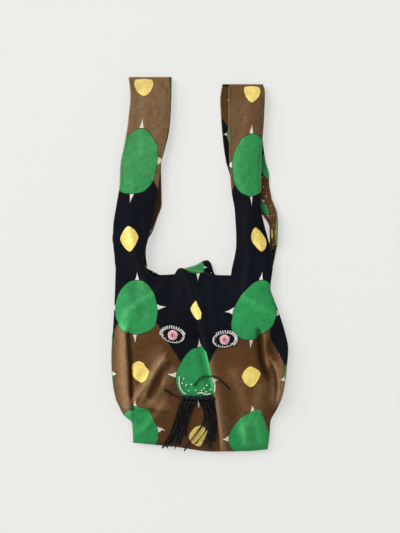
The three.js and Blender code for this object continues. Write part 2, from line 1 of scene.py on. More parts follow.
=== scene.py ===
# Fabric pouch bag with two loop straps and a sewn-on animal face, lying on its back on a pale floor.
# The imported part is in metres, with X across the bag, Y towards the strap tops and Z up out of the front.
# The bag's own sizes below are millimetres, as cut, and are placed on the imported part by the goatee's roll.

import math

import bpy
import numpy as np
from mathutils import Matrix, Vector, noise
from mathutils.bvhtree import BVHTree
from mathutils.kdtree import KDTree


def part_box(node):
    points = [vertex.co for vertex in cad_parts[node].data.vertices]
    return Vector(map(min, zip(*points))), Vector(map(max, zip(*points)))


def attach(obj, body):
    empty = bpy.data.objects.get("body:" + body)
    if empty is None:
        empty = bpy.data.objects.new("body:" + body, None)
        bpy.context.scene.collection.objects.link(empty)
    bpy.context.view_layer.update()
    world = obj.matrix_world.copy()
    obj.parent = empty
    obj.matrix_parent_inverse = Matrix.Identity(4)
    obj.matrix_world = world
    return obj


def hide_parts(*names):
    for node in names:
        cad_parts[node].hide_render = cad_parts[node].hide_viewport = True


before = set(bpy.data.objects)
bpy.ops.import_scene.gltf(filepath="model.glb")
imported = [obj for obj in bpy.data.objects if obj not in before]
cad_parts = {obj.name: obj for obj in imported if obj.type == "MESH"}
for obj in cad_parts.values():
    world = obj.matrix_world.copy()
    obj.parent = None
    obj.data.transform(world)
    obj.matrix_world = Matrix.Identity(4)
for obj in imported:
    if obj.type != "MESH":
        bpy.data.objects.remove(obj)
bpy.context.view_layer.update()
bpy.ops.object.select_all(action="DESELECT")
print("frame loaded")

mm = 0.001

# Cloth, body and straps, in the sizes that the part is cut to
bag = {
    "shellThickness": 1.5,
    "liningThickness": 1.0,
    "stitchGap": 0.3,
    "bodyWidth": 316,
    "bodyLength": 314,
    "bodyHeight": 34,
    "mouthHeight": 21,
    "creaseHeight": 23,
    "baseHeight": 15,
    "sideSeamHeight": 11,
    "bottomSeamHeight": 7,
    "mouthSag": 12,
    "baseSag": 16,
    "strapLength": 346,
    "strapWidth": 72,
    "strapSpacing": 178,
    "strapStagger": 13,
    "loopOpening": 7,
    "strapCrown": 3,
}
liningDepth = bag["shellThickness"] + bag["stitchGap"]
plyThickness = liningDepth + bag["liningThickness"]
legTop = 2 * plyThickness + bag["loopOpening"]
strapRadius = legTop / 2

# Where the goatee's roll sits on the cut bag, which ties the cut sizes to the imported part, and its size
rollPlace = (-2, -230)
rollSize = {"length": 60, "width": 7, "height": 8}
rollLow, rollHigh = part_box("goatee_roll")
bagOrigin = (rollLow + rollHigh) / 2 - Vector((rollPlace[0], rollPlace[1], 0)) * mm
bagOrigin.z = 0


# Camera and light. The camera looks straight down, and its frame takes in this much of the bag's level from
# top to bottom, in metres.

view = {
    "height": 2.0,
    "seen": 0.9594,
    "objectLevel": 0.012,
    "middle": (0.0009, -0.0040),
}
cameraData = bpy.data.cameras.new("overheadCamera")
cameraData.sensor_fit = "VERTICAL"
distance = view["height"] - view["objectLevel"]
cameraData.lens = cameraData.sensor_height * distance / view["seen"]
camera = bpy.data.objects.new("overheadCamera", cameraData)
camera.location = (*view["middle"], view["height"])
bpy.context.scene.collection.objects.link(camera)
bpy.context.scene.camera = camera
bpy.context.scene.view_settings.view_transform = "Standard"

studio = {
    "floorSize": 30.0,
    "windowPower": 1345,
    "windowSize": 9.0,
    "windowPlace": (-7.4, 5.8, 6.8),
    "fillPower": 9,
    "fillSize": 1.5,
    "fillPlace": (2.4, -1.8, 2.4),
    "skyStrength": 0.42,
    "skySeen": 0.84,
    "floorGap": 0.0003,
}


def addWindow(name, power, size, place):
    lamp = bpy.data.lights.new(name, "AREA")
    lamp.energy = power
    lamp.size = size
    holder = bpy.data.objects.new(name, lamp)
    holder.location = place
    holder.rotation_euler = (-Vector(place)).to_track_quat("-Z", "Y").to_euler()
    bpy.context.scene.collection.objects.link(holder)


addWindow("windowLight", studio["windowPower"], studio["windowSize"], studio["windowPlace"])
addWindow("fillLight", studio["fillPower"], studio["fillSize"], studio["fillPlace"])
sky = bpy.data.worlds.new("studioSky")
sky.use_nodes = True
skyNode = sky.node_tree.nodes["Background"]
skyNode.inputs["Color"].default_value = (1, 1, 1, 1)
skyPath = sky.node_tree.nodes.new("ShaderNodeLightPath")
skyLevel = sky.node_tree.nodes.new("ShaderNodeMapRange")    # brighter where the camera or a gloss sees it
skyLevel.inputs["To Min"].default_value = studio["skyStrength"]
skyLevel.inputs["To Max"].default_value = studio["skySeen"]
seenOrGlossy = sky.node_tree.nodes.new("ShaderNodeMath")
sky.node_tree.links.new(skyPath.outputs["Is Camera Ray"], seenOrGlossy.inputs[0])
sky.node_tree.links.new(skyPath.outputs["Is Glossy Ray"], seenOrGlossy.inputs[1])
sky.node_tree.links.new(seenOrGlossy.outputs[0], skyLevel.inputs["Value"])
sky.node_tree.links.new(skyLevel.outputs[0], skyNode.inputs["Strength"])
bpy.context.scene.world = sky


# Curves and folds that the panels follow

def curveThrough(rows):
    at, value = np.array(rows, float).T
    rise = np.diff(value) / np.diff(at)
    slope = np.zeros(len(at))
    slope[0], slope[-1] = rise[0], rise[-1]
    before, after = rise[:-1], rise[1:]
    turning = before * after <= 0
    slope[1:-1] = np.where(turning, 0, 2 * before * after / np.where(turning, 1, before + after))

    def read(place):
        x = np.clip(place, at[0], at[-1])
        j = np.clip(np.searchsorted(at, x, side="right") - 1, 0, len(rise) - 1)
        span = at[j + 1] - at[j]
        t = (x - at[j]) / span
        return (
            (2 * t**3 - 3 * t**2 + 1) * value[j]
            + (t**3 - 2 * t**2 + t) * span * slope[j]
            + (3 * t**2 - 2 * t**3) * value[j + 1]
            + (t**3 - t**2) * span * slope[j + 1]
        )

    return read


def between(low, high, share):
    return low + (high - low) * share


def ease(value, low, high):
    t = np.clip((value - low) / (high - low), 0, 1)
    return t * t * (3 - 2 * t)


# Folds of the front. Each has its line down the bag, how far it reaches to either side and how far it rises.
folds = {
    "centrePleat": (
        [(-28, -4), (-10, -33), (-1, -47), (6, -101), (18, -157), (30, -227), (37, -290), (40, -326)],
        9, 4.5,
    ),
    "leftEdgeRidge": ([(-130, -87), (-130, -125), (-129, -182), (-123, -242)], 8, 3),
    "leftEdgeValley": ([(-114, -187), (-113, -227), (-112, -260)], 8, -3.5),
    "upperSlant": ([(-66, -168), (-89, -200), (-107, -222), (-120, -238)], 9, 4.5),
    "lowerSlant": ([(-48, -182), (-66, -214), (-84, -238)], 9, 3.5),
    "cornerCrease": ([(-116, -254), (-84, -252)], 7, -2.5),
    "rightGroove": ([(108, -125), (110, -146), (114, -168), (122, -188)], 8, -4.5),
    "rightRidge": ([(126, -164), (133, -180), (138, -204), (136, -232)], 8, 3.5),
    "baseRidge": ([(76, -278), (84, -312)], 9, 2.5),
    "leftStrapFold": ([(-128, 68), (-118, 18), (-96, -32)], 11, 2.5),
    "rightStrapFold": ([(84, 78), (88, 8), (78, -42)], 11, 2.5),
}

# Creases that only the finished cloth has. Each reaches to the left and to the right of its line by a length
# of its own, as seen from above.
creases = {
    "pleatUpper": ([(-24, -14), (-12, -46), (-3, -82), (3, -108)], 10, 3, 3.6),
    "pleatEdge": (
        [(0, -96), (7, -128), (13, -160), (22, -200), (31, -234), (36, -270), (40, -306), (41, -322)],
        2.2, 10, 4.4,
    ),
    "pleatFoot": (
        [(-4, -98), (3, -130), (9, -162), (18, -201), (27, -235), (32, -270), (36, -304), (37, -320)],
        9, 2.2, -4.2,
    ),
    "yokePull": ([(-36, -14), (-30, -44), (-20, -74)], 7, 5, 2.4),
    "yokePullRight": ([(20, -26), (22, -58), (28, -96)], 9, 6, 2.0),
    "leftFlank": ([(-134, -108), (-134, -150), (-133.5, -190), (-131, -225), (-123, -257)], 14, 8, 8.6),
    "leftTuck": ([(-127, -118), (-124, -150), (-122, -182), (-121, -215), (-119, -250)], 3.4, 4.4, -10.5),
    "leftTuckLip": ([(-117, -188), (-117.5, -210), (-116, -232), (-113, -258)], 2.8, 10, 5.5),
    "upperSlantCrest": ([(-62, -160), (-74, -176), (-85, -197), (-93, -216), (-96, -228)], 9, 3.6, 6.0),
    "upperSlantShade": ([(-57, -172), (-70, -190), (-79, -208), (-85, -226)], 6, 8, -4.5),
    "lowerSlantCrest": ([(-96, -208), (-106, -223), (-116, -238)], 6, 2.8, 4.5),
    "innerSlant": ([(-58, -164), (-61, -184), (-64, -206)], 5, 4, 2.8),
    "sideSlant": ([(-70, -146), (-94, -166), (-112, -184)], 9, 7, 1.6),
    "cornerLine": ([(-66, -252), (-82, -248), (-100, -251), (-116, -250)], 14, 2.6, 3.8),
    "cornerPull": ([(-60, -236), (-78, -262), (-100, -290)], 8, 6, 2.6),
    "rightGrooveLine": (
        [(108, -112), (110.5, -130), (112, -148), (114.5, -166), (120, -184), (127, -196)],
        5, 3.4, -8.0,
    ),
    "rightGrooveCrest": ([(116.5, -120), (117, -140), (118.5, -160), (122, -176)], 3, 6, 5.0),
    "rightHollow": ([(130, -134), (131, -150), (133, -162)], 7, 8, -6.5),
    "rightLip": (
        [(128, -160), (135, -171), (141, -185), (144, -200), (144.5, -218), (142, -236)],
        2.4, 8, 6.5,
    ),
    "rightLipShade": ([(131, -174), (136, -186), (139, -202), (139.5, -220), (137, -238)], 4, 3, -5.0),
    "rightFlank": ([(149, -136), (151.5, -160), (152, -184), (149, -214), (140, -240)], 9, 5, 5.4),
    "rightPull": ([(64, -186), (76, -214), (84, -250)], 12, 10, 2.6),
    "rightBow": ([(108, -214), (104, -240), (94, -268), (80, -292)], 9, 12, 3.0),
    "basePull": ([(76, -270), (84, -314)], 4, 8, 3.6),
    "basePullRight": ([(104, -276), (110, -312)], 5, 9, 2.6),
    "basePullLeft": ([(-30, -286), (-36, -322)], 6, 6, 2.4),
    "shoulderPull": ([(58, -30), (82, -52), (112, -70), (136, -84)], 9, 6, 2.6),
    "shoulderPullLeft": ([(-60, -26), (-86, -48), (-112, -66), (-134, -84)], 6, 9, 2.6),
    "eggDent": ([(-118, -34), (-110, -58), (-100, -84)], 7, 7, -2.6),
    "leftStrapLine": ([(-126, 74), (-116, 22), (-97, -24)], 4, 9, 2.6),
    "leftStrapBow": ([(-92, 82), (-90, 46), (-84, 12)], 7, 5, 1.2),
    "leftStrapPull": ([(-126, 190), (-116, 130), (-122, 84)], 8, 6, 1.1),
    "leftStrapUpper": ([(-98, 318), (-104, 262), (-100, 206)], 7, 9, 1.0),
    "rightStrapLine": ([(82, 84), (88, 20), (80, -38)], 4, 9, 2.6),
    "rightStrapBow": ([(108, 66), (111, 26), (120, -14)], 7, 5, 1.4),
    "rightStrapPull": ([(66, 180), (84, 128), (94, 84)], 7, 9, 1.3),
    "rightStrapUpper": ([(92, 304), (84, 250), (72, 196)], 8, 7, 1.0),
}
crumple = {
    "broad": 2.0,
    "broadLength": 62,
    "broadShift": 37,
    "fine": 0.55,
    "fineLength": 21,
    "fineShift": 11,
}
eyeSpots = [(-46, -118), (46, -126)]
eyeRest = {"stretch": 1.5, "flatTo": 13, "freeFrom": 24}


# Distance to a line down the bag, and whether the place is to the right of it as seen from above
def besideLine(x, y, path):
    nearest = np.full(np.shape(x), np.inf)
    isRight = np.zeros(np.shape(x), bool)
    for (ax, ay), (bx, by) in zip(path, path[1:]):
        dx, dy = bx - ax, by - ay
        t = np.clip(((x - ax) * dx + (y - ay) * dy) / (dx * dx + dy * dy), 0, 1)
        away = np.hypot(x - ax - t * dx, y - ay - t * dy)
        right = (x - ax) * dy - (y - ay) * dx < 0
        isRight = np.where(away < nearest, right, isRight)
        nearest = np.minimum(nearest, away)
    return nearest, isRight


def ridgeRise(x, y, ridges):
    total = np.zeros(np.shape(x))
    for path, *reaches, rise in ridges.values():
        away, isRight = besideLine(x, y, path)
        total += rise * np.exp(-(away / np.where(isRight, reaches[-1], reaches[0])) ** 2)
    return total


def foldRise(x, y):
    return ridgeRise(x, y, folds)


# The cloth under the eyes stays as it is, so that the felt keeps lying on it
def flatFace(x, y):
    share = np.ones(np.shape(x))
    for eyeX, eyeY in eyeSpots:
        away = np.hypot((x - eyeX) / eyeRest["stretch"], y - eyeY)
        share *= ease(away, eyeRest["flatTo"], eyeRest["freeFrom"])
    return share


def creaseRise(x, y):
    return ridgeRise(x, y, creases) * flatFace(x, y)


def crumpleRise(x, y, seed):
    flatX, flatY = np.ravel(x), np.ravel(y)
    total = np.empty(len(flatX))
    for i in range(len(flatX)):
        broad = Vector((flatX[i], flatY[i], seed * crumple["broadShift"])) / crumple["broadLength"]
        fine = Vector((flatX[i], flatY[i], seed * crumple["fineShift"])) / crumple["fineLength"]
        total[i] = crumple["broad"] * noise.noise(broad) + crumple["fine"] * noise.noise(fine)
    return total.reshape(np.shape(x)) * flatFace(x, y)


# Side outlines, heights and mouth edges, each read at a share of the way down or across
leftInset = curveThrough([
    (0, 8), (0.18, 6), (0.36, 3), (0.52, 1), (0.64, 3), (0.73, 8), (0.79, 14), (0.84, 22),
    (0.885, 37), (0.94, 38.5), (1, 39),
])
rightInset = curveThrough([
    (0, 25), (0.11, 29), (0.18, 22), (0.26, 13), (0.35, 4), (0.46, -3), (0.56, -1), (0.64, 2),
    (0.72, 7), (0.79, 17), (0.86, 29), (0.94, 31), (1, 34),
])
crownAlong = curveThrough([
    (0, bag["mouthHeight"]), (0.35, bag["bodyHeight"]), (0.62, bag["bodyHeight"]),
    (0.86, bag["creaseHeight"]), (1, bag["baseHeight"]),
])
parting = curveThrough([(0, 1), (0.13, 0), (1, 0)])
baseLine = curveThrough([(0, 0), (0.3, -0.45), (0.6, -1), (0.85, -0.95), (1, -0.75)])
frontMouth = curveThrough([
    (0, 12), (0.06, 1), (0.1, -2), (0.3, -2), (0.33, 3), (0.37, 12), (0.4, 13.5), (0.63, 8),
    (0.78, 0), (0.975, -3), (1, 3),
])
backMouth = curveThrough([
    (0, 12), (0.08, 6), (0.15, 1), (0.36, 3), (0.43, 12), (0.58, 19), (0.65, 25), (0.7, 27),
    (0.735, 24), (0.76, 15), (0.79, 1), (1, 0),
])
rollOut = curveThrough([(0, 0), (0.3, 0.1), (0.4, 1), (0.75, 1), (0.83, 0.2), (1, 0)])

# Strap legs: how far each one's middle drifts and how much it is widened, from base (0) to top (1)
legs = {
    "frontLeft": {
        "middle": curveThrough([
            (0, -33.4), (0.05, -36.5), (0.1, -36), (0.15, -34.3), (0.2, -32), (0.26, -28.5),
            (0.35, -23), (0.42, -19), (0.54, -16), (0.64, -8.6), (0.77, -1), (0.9, 1.5), (1, -0.4),
        ]),
        "widen": curveThrough([
            (0, -16), (0.05, -19), (0.1, -14.5), (0.15, -9), (0.2, -4.5), (0.26, -1), (0.42, -1),
            (0.64, 2.7), (0.77, 2.7), (0.9, 0), (1, 1.8),
        ]),
        "crown": bag["strapCrown"],
    },
    "backLeft": {
        "middle": curveThrough([
            (0, -36), (0.07, -36.3), (0.14, -37.9), (0.2, -30.7), (0.26, -23.5), (0.34, -14.5),
            (0.54, -15.4), (0.62, -9), (0.72, -1), (0.8, 1.7), (0.95, 3.5), (1, 3.5),
        ]),
        "widen": curveThrough([(0, -14), (0.07, -18), (0.14, -9), (0.2, 0), (1, 0)]),
        "crown": 0,
    },
    "frontRight": {
        "middle": curveThrough([
            (0, 6.4), (0.1, 8.6), (0.17, 6), (0.25, 2), (0.32, -1), (0.42, -3.7), (0.58, -5.2),
            (0.7, -4.7), (0.8, -4), (0.95, -3.1), (1, -4),
        ]),
        "widen": curveThrough([
            (0, 2), (0.1, -8), (0.17, -15.3), (0.25, -21), (0.32, -24), (0.42, -18.5), (0.58, -14),
            (0.7, -11.5), (0.8, -8), (0.95, -6.2), (1, -10),
        ]),
        "crown": 2 * bag["strapCrown"],
    },
    "backRight": {
        "middle": curveThrough([
            (0, 8), (0.08, 30), (0.14, 46), (0.22, 46), (0.3, 38), (0.38, 18), (0.46, 6),
            (0.53, 1), (0.58, -4), (0.68, -9), (0.8, -12.5), (0.92, -14.5), (1, -11),
        ]),
        "widen": curveThrough([
            (0, 2), (0.08, -32), (0.14, -58), (0.22, -57), (0.3, -44), (0.38, -22), (0.46, -8),
            (0.53, 0), (1, 0),
        ]),
        "crown": 0,
        "edgeLift": curveThrough([(0, 0), (0.1, 4), (0.18, 12), (0.26, 12), (0.36, 4), (0.46, 0), (1, 0)]),
    },
}

# Rows of a strap leg, along it and round its folded top, and those in which it settles above the body
strapRows = 13
foldRows = 3
foldFineness = 4
settleRows = 6

# Shares of a leg, from its top down, over which its crown and its folds come in
crownFade = (0.02, 0.2)
foldFade = (0, 0.08)

# The back's rolled edges, each as how far it reaches in and the angle at which it starts. The right one is
# only partly slack, and one soft peak lifts the mouth.
tightRoll = (9, math.radians(75))
slackRoll = (15, math.radians(40))
rightSlack = 0.3
backPeak = {"middle": (8, -4), "reach": 20, "rise": 6}

# The last share of the way down, in which the front turns under at the base
baseTurn = 0.05


def seamAlong(down):
    return between(bag["sideSeamHeight"], bag["bottomSeamHeight"], down)


def frontPoint(x, y, share, down):
    across = np.sqrt(np.maximum(0, 1 - np.abs(2 * share - 1) ** 4))
    turn = np.maximum(0, (down - 1 + baseTurn) / baseTurn)
    along = np.sqrt(np.maximum(0, 1 - turn * turn))
    seam = between(seamAlong(down) + bag["stitchGap"] / 2, legTop, parting(down))
    pressed = (foldRise(x, y) + creaseRise(x, y) + crumpleRise(x, y, 1)) * across * along
    return x, y, seam + (crownAlong(down) - seam) * across * along + pressed


def rollAt(away, slack):
    reach = between(tightRoll[0], slackRoll[0], slack)
    start = between(tightRoll[1], slackRoll[1], slack)
    turn = start + (math.pi - start) * np.minimum(1, away / reach)
    height = (1 + np.cos(turn)) / (1 + np.cos(start))
    return height, reach * np.maximum(0, np.sin(turn) - np.sin(start))


def backPoint(x, y, share, down):
    fromSide = np.minimum(share, 1 - share) * bag["bodyWidth"]
    slack = np.where(share < 0.5, 1, rightSlack) * rollOut(down)
    sideHeight, sideOut = rollAt(fromSide, slack)
    baseHeight, _ = rollAt((1 - down) * bag["bodyLength"], 0)
    seam = between(seamAlong(down) - bag["stitchGap"] / 2, plyThickness, parting(down))
    fromPeak = np.hypot(x - backPeak["middle"][0], y - backPeak["middle"][1])
    peak = backPeak["rise"] * np.exp(-(fromPeak / backPeak["reach"]) ** 2)
    rise = np.maximum(sideHeight, baseHeight)
    return x + np.where(share < 0.5, -1, 1) * sideOut, y, seam * rise + peak


def legPoint(leg, side, isFront, across, row):
    topLevel = bag["strapLength"] - (bag["strapStagger"] if side > 0 else 0)
    straight = topLevel - strapRadius
    along = np.where(row > strapRows, 1, row / strapRows * straight / topLevel)
    turn = np.maximum(0, row - strapRows) / foldRows * math.pi / 2
    x = side * bag["strapSpacing"] / 2 + leg["middle"](along)
    x = x + (across - 0.5) * (bag["strapWidth"] + leg["widen"](along))
    seam = bag["stitchGap"] / 2
    level = strapRadius + (1 if isFront else -1) * (seam + (strapRadius - seam) * np.cos(turn))
    y = np.where(row > strapRows, straight + strapRadius * np.sin(turn), along * topLevel)
    bow = leg["crown"] * (1 - (2 * across - 1) ** 2) * ease(1 - along, *crownFade)
    lift = leg["edgeLift"](along) * across**2 if "edgeLift" in leg else 0
    if isFront:
        settled = ease(1 - along, *foldFade)
        rise = bow + foldRise(x, y) + (creaseRise(x, y) + crumpleRise(x, y, 2)) * settled
        flat = legTop + rise
    else:
        flat = lift + np.zeros(np.shape(x))
    return x, y, np.where(row > strapRows, level, flat)


# A panel of cloth as a fine grid: the body's rows run down from the mouth, and each strap's rows run up.
# Each point also has its place on the flat, printed cloth.
def columnShares(edge, middleColumns):
    first = edge[-1]
    middle = [between(first, 1 - first, (i + 1) / middleColumns) for i in range(middleColumns - 1)]
    return edge + middle + [1 - share for share in reversed(edge)]


panels = {
    "front": {
        "isFront": True,
        "shares": columnShares([0, 0.014, 0.04, 0.08], 18),
        "leftColumns": 5,
        "rightColumns": 6,
        "bodyRows": 24,
        "mouth": frontMouth,
        "leftLeg": legs["frontLeft"],
        "rightLeg": legs["frontRight"],
        "bodyPoint": frontPoint,
    },
    "back": {
        "isFront": False,
        "shares": columnShares([0, 0.012, 0.025, 0.05], 11),
        "leftColumns": 4,
        "rightColumns": 4,
        "bodyRows": 15,
        "mouth": backMouth,
        "leftLeg": legs["backLeft"],
        "rightLeg": legs["backRight"],
        "bodyPoint": backPoint,
    },
}

# The columns pass from the straps' places to their own by this share of the way down, and the rows crowd
# towards the base. The straps are cut this far from the middle of the flat cloth.
settleDown = 0.3
rowCrowding = 1.25
strapCutPlace = 104

# The long pleat takes in some of the print: how much it hides, and how far the cloth slips down along it
pleat = {
    "line": [(-28, -4), (-12, -40), (2, -88), (10, -130), (16, -166), (26, -214), (34, -270), (41, -330)],
    "hides": 13,
    "slips": 9,
    "edge": 2.5,
    "startsDown": 20,
    "fullDown": 90,
}


def gridQuads(upper, lower):
    corners = [upper[:, :-1], lower[:, :-1], lower[:, 1:], upper[:, 1:]]
    return np.stack(corners, axis=2).reshape(-1, 4)


def bodyGrid(panel, fineness, first, last):
    coarse = len(panel["shares"]) - 1
    isFront = panel["isFront"]
    ends = np.array([0.0, 1.0])
    leftBase = legPoint(panel["leftLeg"], -1, isFront, ends, np.zeros(2))[0]
    rightBase = legPoint(panel["rightLeg"], 1, isFront, ends, np.zeros(2))[0]
    place = np.linspace(0, coarse, coarse * fineness + 1)
    share = np.interp(place, range(coarse + 1), panel["shares"])
    topX = np.interp(place, [0, first, last, coarse], [*leftBase, *rightBase])
    inMouth = (place > first) & (place < last)
    mouthShare = (place - first) / (last - first)
    topY = np.where(inMouth, panel["mouth"](mouthShare) - bag["mouthSag"], 0)
    topY[[first * fineness, last * fineness]] = 0

    rows = panel["bodyRows"] * fineness
    down = 1 - (1 - np.linspace(0, 1, rows + 1)) ** rowCrowding
    down = np.repeat(down[:, None], len(place), axis=1)
    share = np.repeat(share[None, :], rows + 1, axis=0)
    left = -bag["bodyWidth"] / 2 + leftInset(down)
    right = bag["bodyWidth"] / 2 - rightInset(down)
    topShare = (topX - topX[0]) / (topX[-1] - topX[0])
    settled = between(topShare[None, :], share, ease(down, 0, settleDown))
    x = between(left, right, settled)
    y = -down * bag["bodyLength"] + topY * (1 - down) ** 3 + baseLine(settled) * bag["baseSag"] * down**4
    body = np.stack(panel["bodyPoint"](x, y, settled, down), axis=2)

    stepX = np.hypot(np.diff(body[:, :, 0], axis=1), np.diff(body[:, :, 2], axis=1))
    u = np.concatenate([np.zeros((rows + 1, 1)), np.cumsum(stepX, axis=1)], axis=1)
    centre = len(place) // 2
    u += x[:, centre:centre + 1] - u[:, centre:centre + 1]
    stepY = np.hypot(np.diff(body[:, :, 1], axis=0), np.diff(body[:, :, 2], axis=0))
    v = y[0:1, :] - np.concatenate([np.zeros((1, len(place))), np.cumsum(stepY, axis=0)], axis=0)
    return body, np.stack([u, v], axis=2)


# A leg's grid starts one row above the body's top row, which it settles on
def legGrid(leg, side, isFront, fineness, bodyTop, flatTop):
    width = bodyTop.shape[1] - 1
    row = np.concatenate([
        np.linspace(0, strapRows, strapRows * fineness + 1)[1:],
        strapRows + np.linspace(0, foldRows, foldRows * foldFineness + 1)[1:],
    ])[:, None]
    across = (np.arange(width + 1) / width)[None, :]
    row, across = np.broadcast_arrays(row, across)
    start = np.zeros((1, width + 1))
    point = np.stack(legPoint(leg, side, isFront, across, row), axis=2)
    base = np.stack(legPoint(leg, side, isFront, across[:1], start), axis=2)
    flatX = side * strapCutPlace + (across - 0.5) * bag["strapWidth"]
    flatY = row / (strapRows + foldRows) * bag["strapLength"]
    flat = np.stack([flatX, flatY], axis=2)
    flatBase = np.stack([flatX[:1], start], axis=2)
    settle = np.maximum(0, 1 - row / settleRows)[:, :, None] ** 2
    return point + (bodyTop - base) * settle, flat + (flatTop - flatBase) * settle


def buildPanel(panel, fineness, strapFineness):
    coarse = len(panel["shares"]) - 1
    first, last = panel["leftColumns"], coarse - panel["rightColumns"]
    isFront = panel["isFront"]
    body, flat = bodyGrid(panel, fineness, first, last)
    index = np.arange(body[:, :, 0].size).reshape(body.shape[:2])
    outward = {}
    for row in index:
        level = -1 if row[0] == index[-1, 0] else 0
        outward[row[0]] = Vector((-1, level, 0)).normalized()
        outward[row[-1]] = Vector((1, level, 0)).normalized()
    for corner in index[-1, 1:-1]:
        outward[corner] = Vector((0, -1, 0))

    printed = flat
    if isFront:
        away, isRight = besideLine(body[:, :, 0], body[:, :, 1], pleat["line"])
        past = np.where(isRight, ease(away, 0, pleat["edge"]), 0)
        past = past * ease(-body[:, :, 1], pleat["startsDown"], pleat["fullDown"])
        printed = flat + np.stack([past * pleat["hides"], past * pleat["slips"]], axis=2)

    points = [body.reshape(-1, 3)]
    flats = [printed.reshape(-1, 2)]
    quads = [gridQuads(index[:-1], index[1:])]
    count = index.size
    for leg, side, start, end in (
        (panel["leftLeg"], -1, 0, first * fineness),
        (panel["rightLeg"], 1, last * fineness, coarse * fineness),
    ):
        top = slice(start, end + 1)
        legPoints, legFlats = legGrid(leg, side, isFront, strapFineness, body[:1, top], flat[:1, top])
        legIndex = count + np.arange(legPoints[:, :, 0].size).reshape(legPoints.shape[:2])
        full = np.concatenate([index[:1, top], legIndex])
        points.append(legPoints.reshape(-1, 3))
        flats.append(legFlats.reshape(-1, 2))
        quads.append(gridQuads(full[1:], full[:-1]))
        for corner in legIndex[-1]:
            outward[corner] = Vector((0, 1, 0))
        count += legIndex.size

    points = np.concatenate(points)
    quads = np.concatenate(quads)
    if not isFront:
        quads = quads[:, ::-1]
    normals = panelNormals(points, quads, outward, 1 if isFront else -1)
    return points, np.concatenate(flats), quads, normals


# The few normals that come out upside down at the mouth's steep edge are turned back, and those of the outer
# edges look straight outward
def panelNormals(points, quads, outward, facingUp):
    a, b, c, d = (points[quads[:, i]] for i in range(4))
    facing = np.cross(c - a, d - b)
    total = np.zeros(points.shape)
    for i in range(4):
        np.add.at(total, quads[:, i], facing)
    total /= np.maximum(1e-9, np.linalg.norm(total, axis=1))[:, None]
    total[total[:, 2] * facingUp < -0.9] *= -1
    for corner, direction in outward.items():
        total[corner] = direction
    return total


def meshObject(name, points, faces):
    mesh = bpy.data.meshes.new(name)
    mesh.from_pydata([tuple(p) for p in points], [], [tuple(int(i) for i in f) for f in faces])
    mesh.update()
    mesh.polygons.foreach_set("use_smooth", [True] * len(mesh.polygons))
    thing = bpy.data.objects.new(name, mesh)
    bpy.context.scene.collection.objects.link(thing)
    return thing


def setPointValues(thing, name, values):
    layer = thing.data.attributes.new(name, "FLOAT", "POINT")
    layer.data.foreach_set("value", values)


# The straps are rubbed paler by hands: each strap's share, and the height over which it comes in
handling = {"left": 1, "right": 0.45, "startsUp": 70, "fullUp": 190}


# A closed layer of cloth between two depths below the outside of a panel
def clothLayer(name, built, isFront, outer, inner):
    points, flats, quads, normals = built
    count = len(points)
    both = np.concatenate([points - normals * outer, points - normals * inner]) * mm
    both += np.array(bagOrigin)
    edges = {}
    for quad in quads.tolist():
        for i in range(4):
            here, there = quad[i], quad[(i + 1) % 4]
            if (there, here) in edges:
                del edges[(there, here)]
            else:
                edges[(here, there)] = True
    walls = [(here, here + count, there + count, there) for here, there in edges]
    faces = quads.tolist() + (quads[:, ::-1] + count).tolist() + walls
    thing = meshObject(name, both, faces)
    x, y = points[:, 0], points[:, 1]
    # How far the folds rise, from which the finish paints highlight on ridges and shade in folds
    relief = (foldRise(x, y) + creaseRise(x, y)) * isFront
    handled = np.where(x < 0, handling["left"], handling["right"])
    handled = handled * ease(y, handling["startsUp"], handling["fullUp"]) * isFront
    setPointValues(thing, "fromEdge", np.tile(fromOpenEdge(points, edges), 2))
    setPointValues(thing, "relief", np.tile(relief, 2))
    setPointValues(thing, "handled", np.tile(handled, 2))
    layer = thing.data.uv_layers.new(name="flatCloth")
    corners = np.empty(len(thing.data.loops), int)
    thing.data.loops.foreach_get("vertex_index", corners)
    layer.data.foreach_set("uv", (flats[corners % count] * mm).ravel())
    return thing


# How far each point lies from the edges of the mouth and the straps
def fromOpenEdge(points, edges):
    strapTop = bag["strapLength"] - bag["strapStagger"] - strapRadius
    places = []
    for here, there in edges:
        ends = (Vector(points[here]), Vector(points[there]))
        if min(end.y for end in ends) > -bag["mouthSag"] and max(end.y for end in ends) < strapTop:
            places += [ends[0], ends[0].lerp(ends[1], 0.5)]
    tree = KDTree(len(places))
    for i, place in enumerate(places):
        tree.insert(place, i)
    tree.balance()
    return np.array([tree.find(point)[2] for point in points])


def layerArea(built):
    points, _, quads, _ = built
    a, b, c, d = (points[quads[:, i]] for i in range(4))
    return 0.5 * np.linalg.norm(np.cross(c - a, d - b), axis=1).sum() * mm * mm


frontBuilt = buildPanel(panels["front"], 7, 12)
backBuilt = buildPanel(panels["back"], 8, 10)
frontLining = buildPanel(panels["front"], 5, 8)
backLining = buildPanel(panels["back"], 6, 8)
outerFront = clothLayer("outerFront", frontBuilt, True, 0, bag["shellThickness"])
outerBack = clothLayer("outerBack", backBuilt, False, 0, bag["shellThickness"])
liningFront = clothLayer("liningFront", frontLining, True, liningDepth, plyThickness)
liningBack = clothLayer("liningBack", backLining, False, liningDepth, plyThickness)
print("cloth layers built:", len(frontBuilt[0]), len(backBuilt[0]))

for thing, node, slot, built in (
    (outerFront, "outer_front", "printed_cotton", frontBuilt),
    (outerBack, "outer_back", "printed_cotton", backBuilt),
    (liningFront, "lining_front", "lining_cotton", frontLining),
    (liningBack, "lining_back", "lining_cotton", backLining),
):
    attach(thing, "root")
    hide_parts(node)
    round(layerArea(built), 4)
    print(node, "area", round(layerArea(built), 4))


# Where the finished front lies, for all that is sewn or laid on it

frontMesh = outerFront.data
frontTree = BVHTree.FromPolygons(
    [vertex.co for vertex in frontMesh.vertices],
    [polygon.vertices for polygon in frontMesh.polygons],
)

